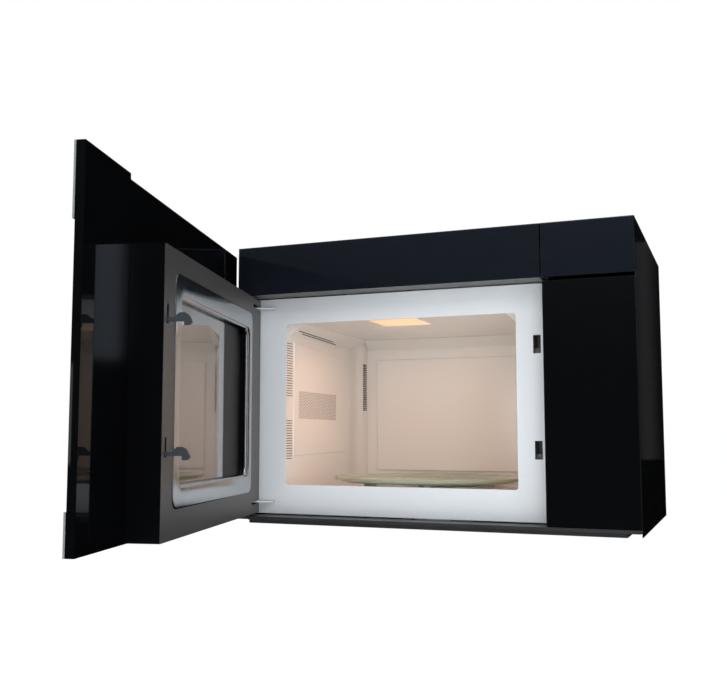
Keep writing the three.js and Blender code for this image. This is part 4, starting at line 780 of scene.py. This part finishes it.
# Radius of the eased edges, millimetres
eased_edges = {
    "outer_wrapper": 0.4, "fascia_left": 1.2, "fascia_right": 1.2, "fascia_floor": 0.3,
    "control_bay_cover": 1.5, "sill_trim": 0.8, "hood_underside": 0.3, "front_frame": 0.4,
    "oven_cavity": 0.3, "exhaust_adaptor": 0.3, "wall_plate": 0.4, "back_plate": 0.3,
    "door_glass": 0.5, "door_frame": 0.7, "door_pan": 0.35,
    "latch_lever": 0.5, "hinge_bracket_upper": 0.5, "hinge_bracket_lower": 0.5,
    "roller_1": 0.6, "roller_2": 0.6, "roller_3": 0.6, "roller_ring": 0.5,
    "grease_filter_left": 0.5, "grease_filter_right": 0.5, "cooktop_lens": 0.5,
}
for node, width in eased_edges.items():
    eased(node, width * MM)


def pressed_spring():
    """The hooks' spring, with eased edges and a mesh of its own."""
    spring = eased("latch_spring", 0.2 * MM)
    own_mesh(spring)


pressed_spring()


def oven_light():
    """The cavity lamp's warm light from just under its screen, and its soft return off the walls."""
    low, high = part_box("lamp_screen")
    centre = (low + high) / 2
    lamp = bpy.data.lights.new("oven_light", "AREA")
    lamp.shape = "RECTANGLE"
    lamp.size = 0.08
    lamp.size_y = 0.08
    lamp.energy = 0.3
    lamp.color = (1.0, 0.47, 0.2)
    light = bpy.data.objects.new("oven_light", lamp)
    scene.collection.objects.link(light)
    light.location = (centre.x, centre.y, low.z - 0.006)
    light.visible_glossy = False
    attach(light, "cabinet")
    glow = bpy.data.lights.new("oven_glow", "POINT")
    glow.energy = 0.07
    glow.shadow_soft_size = 0.05
    glow.color = (1.0, 0.82, 0.64)
    haze = bpy.data.objects.new("oven_glow", glow)
    scene.collection.objects.link(haze)
    haze.location = (-0.05, -0.23, -0.01)
    haze.visible_glossy = False
    haze.visible_camera = False
    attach(haze, "cabinet")


oven_light()

# Oven: inner wall planes, and how far its pressed panels stand off them, millimetres
OVEN_LEFT, OVEN_RIGHT = -237.8, 133.5
OVEN_ROOF, OVEN_BACK = 98.2, -59.3
PANEL_RISE = 1.0
SLIT_HEIGHT = 1.5
# The slopes under the roof, at its left and its rear, fall 18 over 20
SLOPE_FALL, SLOPE_RUN = 18, 20


def slit_column(name, axis_low, axis_high, first, last, pitch):
    """Short level slits one over another, from one height to the next; each is a dark bar whose colour is
    painted shade.
    """
    count = int((last - first) / pitch) + 1
    slit = bar(name, (*axis_low, first), (*axis_high, first + SLIT_HEIGHT), 0.3, 1)
    return fit(row_of(slit, count, (0, 0, pitch)), "cabinet", "black_plastic", "hole")


def side_wall_vents():
    """Two columns of slits behind the mouth, and the punched square field further in, whose holes are studs
    coloured with painted shade and painted lamplight.
    """
    x0, x1 = OVEN_LEFT - 0.4, OVEN_LEFT + 0.12
    front, rear, slit_pitch = -378.5, -357, 4.0
    slit_column("side_slits_upper", (x0, front), (x1, rear), -18, 68, slit_pitch)
    slit_column("side_slits_lower", (x0, front), (x1, rear), -118, -56, slit_pitch)
    along, up, columns, rows = 6.0, 5.0, 26, 9
    hole_radius, hole_depth, hole_sides = 1.2, 0.4, 8
    first_hole = (OVEN_LEFT + PANEL_RISE - 0.1, -333, -52)
    hole = stud("side_vent_holes", "x", first_hole, hole_radius, hole_depth, 0, hole_sides)
    row_of(hole, columns, (0, along, 0))
    other = copy_of(hole, (0, along / 2, up / 2))
    field = row_of(joined("side_vent_holes", [hole, other]), rows, (0, 0, up))
    fit(field, "cabinet", "black_plastic", "painted_lit_hole")


def rear_corner_vents():
    """Slits in the facet beside the back wall, as dark bars of painted shade."""
    slit_column("corner_slits", (OVEN_LEFT + 13.6, -78), (OVEN_LEFT + 16.2, -64), -33, 55, 3.4)


def roof_bevel_slots():
    """Two long slots in the left slope under the roof; they drop a little towards the back. Each is a dark
    bar whose colour is painted shade.
    """
    slope = math.atan2(SLOPE_FALL, SLOPE_RUN)
    down = Vector((-math.cos(slope), 0, -math.sin(slope)))
    top_edge = Vector((OVEN_LEFT + SLOPE_RUN, -268, OVEN_ROOF))
    half_width, half_length = 0.8, 76
    for index, (drop, along) in enumerate(((17.6, -8), (22.0, 10))):
        centre = top_edge + down * drop + Vector((0, along, 0))
        low, high = (-half_width, -half_length, -0.5), (half_width, half_length, 0.25)
        slot = bar(f"roof_slot_{index + 1}", low, high, 0.3, 1)
        drift = Matrix.Rotation(math.radians(2.2), 4, "Z")
        placed(slot, Matrix.Translation(centre * MM) @ Matrix.Rotation(-slope, 4, "Y") @ drift)
        fit(slot, "cabinet", "black_plastic", "hole")


def pressed_panels():
    """Shallow raised fields pressed into the left and back walls; the left one narrows rearwards."""
    front, rear, bottom, top = -352, -134, -114, 70
    left = bar("left_wall_panel", (OVEN_LEFT - 1, front, bottom), (OVEN_LEFT + PANEL_RISE, rear, top), 0)
    length = rear - front
    foot_rise, head_fall = 5.4, 13
    foot = (0, front * MM, bottom * MM)
    head = (0, front * MM, top * MM)
    trimmed(left, [(foot, (0, foot_rise, -length), True), (head, (0, head_fall, length), True)])
    round_edges(left, 0.9 * MM, 3)
    fit(left, "cabinet", "oven_enamel")
    back = bar("back_wall_panel", (-203, OVEN_BACK - 2.6, -144), (99, OVEN_BACK + 1, 62), 2.2, 5)
    fit(back, "cabinet", "oven_enamel")


def rear_roof_bevel():
    """Slope from the roof down to the back wall."""
    front, bottom = -79, 80
    wedge = bar("rear_roof_slope", (-221, front, bottom), (OVEN_RIGHT, OVEN_BACK, OVEN_ROOF), 0)
    trimmed(wedge, [((0, front * MM, OVEN_ROOF * MM), (0, -SLOPE_FALL, -SLOPE_RUN), True)])
    round_edges(wedge, 0.8 * MM)
    fit(wedge, "cabinet", "oven_enamel")


def frame_bead():
    """Raised bead near the frame's upper right corner."""
    bead = bar("frame_bead", (165.6, -384.0, 98), (168.4, -383, 131), 0.65, 3)
    fit(bead, "cabinet", "white_enamel")


def swept_frame(name, corner, stations):
    """A closed frame: its section runs through rounded rectangles (x0, z0, x1, z1, y), in millimetres."""
    corner_steps = 8
    x0, z0, x1, z1, y = stations[0]
    bpy.ops.object.select_all(action="DESELECT")
    bpy.ops.mesh.primitive_plane_add(
        size=1, location=((x0 + x1) / 2 * MM, y * MM, (z0 + z1) / 2 * MM), rotation=(math.pi / 2, 0, 0)
    )
    frame_piece = bpy.context.object
    frame_piece.name = name
    frame_piece.scale = ((x1 - x0) * MM, (z1 - z0) * MM, 1)
    settle(frame_piece)
    bpy.ops.object.mode_set(mode="EDIT")
    bpy.ops.mesh.select_all(action="SELECT")
    bpy.ops.mesh.bevel(offset=corner * MM, segments=corner_steps, affect="VERTICES")
    bpy.ops.mesh.select_all(action="SELECT")
    bpy.ops.mesh.delete(type="ONLY_FACE")
    bpy.ops.mesh.select_all(action="SELECT")
    before = stations[0]
    for station in stations[1:]:
        middle = [Vector(((s[0] + s[2]) / 2, s[4], (s[1] + s[3]) / 2)) * MM for s in (before, station)]
        bpy.ops.mesh.extrude_region_move(TRANSFORM_OT_translate={"value": middle[1] - middle[0]})
        spread = [(station[i + 2] - station[i]) / (before[i + 2] - before[i]) for i in (0, 1)]
        bpy.ops.transform.resize(value=(spread[0], 1, spread[1]), center_override=middle[1])
        before = station
    bpy.ops.mesh.select_all(action="SELECT")
    bpy.ops.mesh.remove_doubles(threshold=0.00001)
    bpy.ops.mesh.normals_make_consistent(inside=False)
    bpy.ops.object.mode_set(mode="OBJECT")
    bpy.ops.object.shade_smooth_by_angle(angle=math.radians(50))
    return frame_piece


# Window bezel, door shut: outlines (x0, z0, x1, z1) and its foremost plane, millimetres
BEZEL_EDGE = (-240, -167.3, 135.5, 107.7)
BEZEL_OPENING = (-223.9, -142.7, 113.9, 83.1)
BEZEL_FACE = -383.9
BEZEL_CORNER = 14


def window_frame():
    """Bright frame of the window: rolled rim, flat face, and one deep round bead that lines the well."""

    def shrunk(outline, inset, depth):
        x0, z0, x1, z1 = outline
        return (x0 + inset, z0 + inset, x1 - inset, z1 - inset, BEZEL_FACE - depth)

    foot, well_end, wall = 1.1, 11.8, 0.8
    rim = [(0, foot), (0, 1.0), (0.3, 0.65), (0.8, 0.4), (1.6, 0.3)]
    lip = [(-0.9, 0), (-0.35, 0.1), (0, 0.45), (0, 1.7), (-0.35, 2.4)]
    bead_radius, bead_depth, bead_sunk = 4.2, 6.7, 1.3
    bead = [
        (bead_radius * math.cos(math.radians(turn)) - bead_sunk,
         bead_depth - bead_radius * math.sin(math.radians(turn)))
        for turn in (72, 54, 36, 18, 0, -18, -36, -54, -72)
    ]
    back = [(-0.35, 11.2), (-0.35, well_end), (-wall, well_end), (-wall, foot)]
    stations = [shrunk(BEZEL_EDGE, *place) for place in rim]
    stations += [shrunk(BEZEL_OPENING, *place) for place in lip + bead + back]
    stations.append(stations[0])
    bezel = swept_frame("window_frame", BEZEL_CORNER, stations)
    hang_on_door(bezel)
    stand_for(bezel, "window_bezel")


DOOR_OUTSIDE = -439.7  # the outer pane's face, door shut, millimetres
PRINT_HEIGHT = 0.03


def on_door_face(piece, x, z):
    """A print made flat at the origin goes on the door's outer face, upright."""
    place = Matrix.Translation(Vector((x, DOOR_OUTSIDE - PRINT_HEIGHT / 2, z)) * MM)
    return placed(piece, place @ Matrix.Rotation(math.pi / 2, 4, "X"))


def number_print(text, x, z, size):
    """Digits of a given height in millimetres, as thin raised print."""
    bpy.ops.object.select_all(action="DESELECT")
    bpy.ops.object.text_add()
    label = bpy.context.object
    label.data.body = text
    label.data.size = size * MM
    label.data.align_x = "CENTER"
    label.data.align_y = "CENTER"
    label.data.extrude = PRINT_HEIGHT / 2 * MM
    bpy.ops.object.convert(target="MESH")
    return on_door_face(bpy.context.object, x, z)


def outline_print(sides, radius, x, z, line=0.45, turn=0.0):
    """A ring or a figure with a few equal sides, drawn as a thin line."""
    bpy.ops.object.select_all(action="DESELECT")
    bpy.ops.mesh.primitive_circle_add(
        vertices=sides, radius=radius * MM, fill_type="NGON", rotation=(0, 0, math.radians(turn))
    )
    mark = bpy.context.object
    settle(mark)
    bpy.ops.object.mode_set(mode="EDIT")
    bpy.ops.mesh.select_all(action="SELECT")
    bpy.ops.mesh.inset(thickness=line * MM)
    bpy.ops.mesh.delete(type="FACE")
    bpy.ops.object.mode_set(mode="OBJECT")
    wall = mark.modifiers.new("ink", "SOLIDIFY")
    wall.thickness = PRINT_HEIGHT * MM
    wall.offset = 0
    bpy.ops.object.modifier_apply(modifier=wall.name)
    return on_door_face(mark, x, z)


def keypad():
    """Plain numbers and marks printed on the door's outer face over the touch panel."""
    column, row = 27, 25
    middle, top = 230.5, 22
    digit_size, ring_radius, ring_steps = 9, 9.5, 40
    prints = []
    for index, digit in enumerate("123456789"):
        x, z = middle + (index % 3 - 1) * column, top - index // 3 * row
        prints.append(number_print(digit, x, z, digit_size))
        prints.append(outline_print(ring_steps, ring_radius, x, z))
    low = top - 3 * row
    prints.append(number_print("0", middle, low, digit_size))
    prints.append(outline_print(ring_steps, ring_radius, middle, low))
    for side, sides, turn in ((-1, 4, 45), (1, 3, -90)):
        x = middle + side * column
        prints.append(outline_print(ring_steps, ring_radius, x, low))
        prints.append(outline_print(sides, 4, x, low, 0.6, turn))
    for level in (0, 1):
        z = top + (3 - level) * row - 8
        for place, sides in enumerate((3, 4, 6)):
            x = middle + (place - 1) * column
            turn = 90 if sides == 3 else 45 * level
            prints.append(outline_print(sides, 5.4 - level, x, z, 0.5, turn))
    keys = joined("key_prints", prints)
    fit(hang_on_door(keys), "door", "black_glass", "key_print")
    clock_height, clock_size = 146, 25
    clock = number_print("12:00", middle, clock_height, clock_size)
    clock.name = "display_digits"
    fit(hang_on_door(clock), "door", "black_glass", "lit_digits")


def filter_meshes():
    """Fine aluminium mesh in the face of each grease filter."""
    width, length, pitch, web, thickness = 149, 189, 4.4, 0.5, 0.4
    off_middle, along, height = 150, -195, -212.4
    for side, name in ((-1, "left"), (1, "right")):
        mesh = punched_sheet(f"filter_mesh_{name}", width, length, pitch, web, thickness)
        placed(mesh, Matrix.Translation(Vector((side * off_middle, along, height)) * MM))
        fit(mesh, f"filter_{name}", "aluminium")


def cross_screw(name, radius=2.9, rise=1.6):
    """A pan-head screw with a cross recess, made at the origin with its head up."""
    head = stud(name, "z", (0, 0, rise / 2 - 0.3), radius, rise + 0.6, 0.7, 28)
    reach, half_arm, bottom, top = radius * 0.6, 0.4, rise - 0.8, rise + 1
    slots = [
        bar("cross_arm", (-reach, -half_arm, bottom), (reach, half_arm, top), 0),
        bar("cross_arm", (-half_arm, -reach, bottom), (half_arm, reach, top), 0),
    ]
    for slot in slots:
        only(head)
        recess = head.modifiers.new("recess", "BOOLEAN")
        recess.operation = "DIFFERENCE"
        recess.object = slot
        bpy.ops.object.modifier_apply(modifier=recess.name)
        bpy.data.objects.remove(slot)
    smooth_rounds(head)
    return head


def screw_set(name, pattern, turn, places):
    """Copies of one screw at the given places in millimetres, each cross at its own angle."""
    copies = []
    for index, place in enumerate(places):
        copy = copy_of(pattern, (0, 0, 0))
        spin = Matrix.Rotation(math.radians(17 + 53 * index), 4, "Z")
        copies.append(placed(copy, Matrix.Translation(Vector(place) * MM) @ turn @ spin))
    return fit(joined(name, copies), "cabinet", "sheet_steel", "screw_steel")


def screws():
    """Screw heads of the back, the duct flange and the cooktop lens."""
    pattern = cross_screw("screw_pattern")
    to_back = Matrix.Rotation(-math.pi / 2, 4, "X")
    down = Matrix.Rotation(math.pi, 4, "X")
    upright = Matrix.Identity(4)
    back = -2.3
    edges = [(x, back, z) for x in (-295, 295) for z in (-198, -70, 70, 204)]
    edges += [(x, back, z) for x in (-150, 150) for z in (-200, 205)]
    screw_set("back_screws", pattern, to_back, edges)
    flange_sheet = 1.3
    flange_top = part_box("outer_wrapper")[1].z / MM + flange_sheet
    flange = [(x, y, flange_top) for x in (-128, 128) for y in (-94, -52, -10)]
    screw_set("duct_flange_screws", pattern, upright, flange)
    low, high = [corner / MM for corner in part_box("cooktop_lens")]
    middle = (low.y + high.y) / 2
    inset = 5
    ends = [(low.x + inset, middle, low.z), (high.x - inset, middle, low.z)]
    screw_set("lens_screws", cross_screw("small_screw_pattern", 1.9, 0.9), down, ends)
    for leftover in ("screw_pattern", "small_screw_pattern"):
        bpy.data.objects.remove(bpy.data.objects[leftover])


side_wall_vents()
screws()
rear_corner_vents()
roof_bevel_slots()
pressed_panels()
rear_roof_bevel()
frame_bead()
window_frame()
keypad()
filter_meshes()
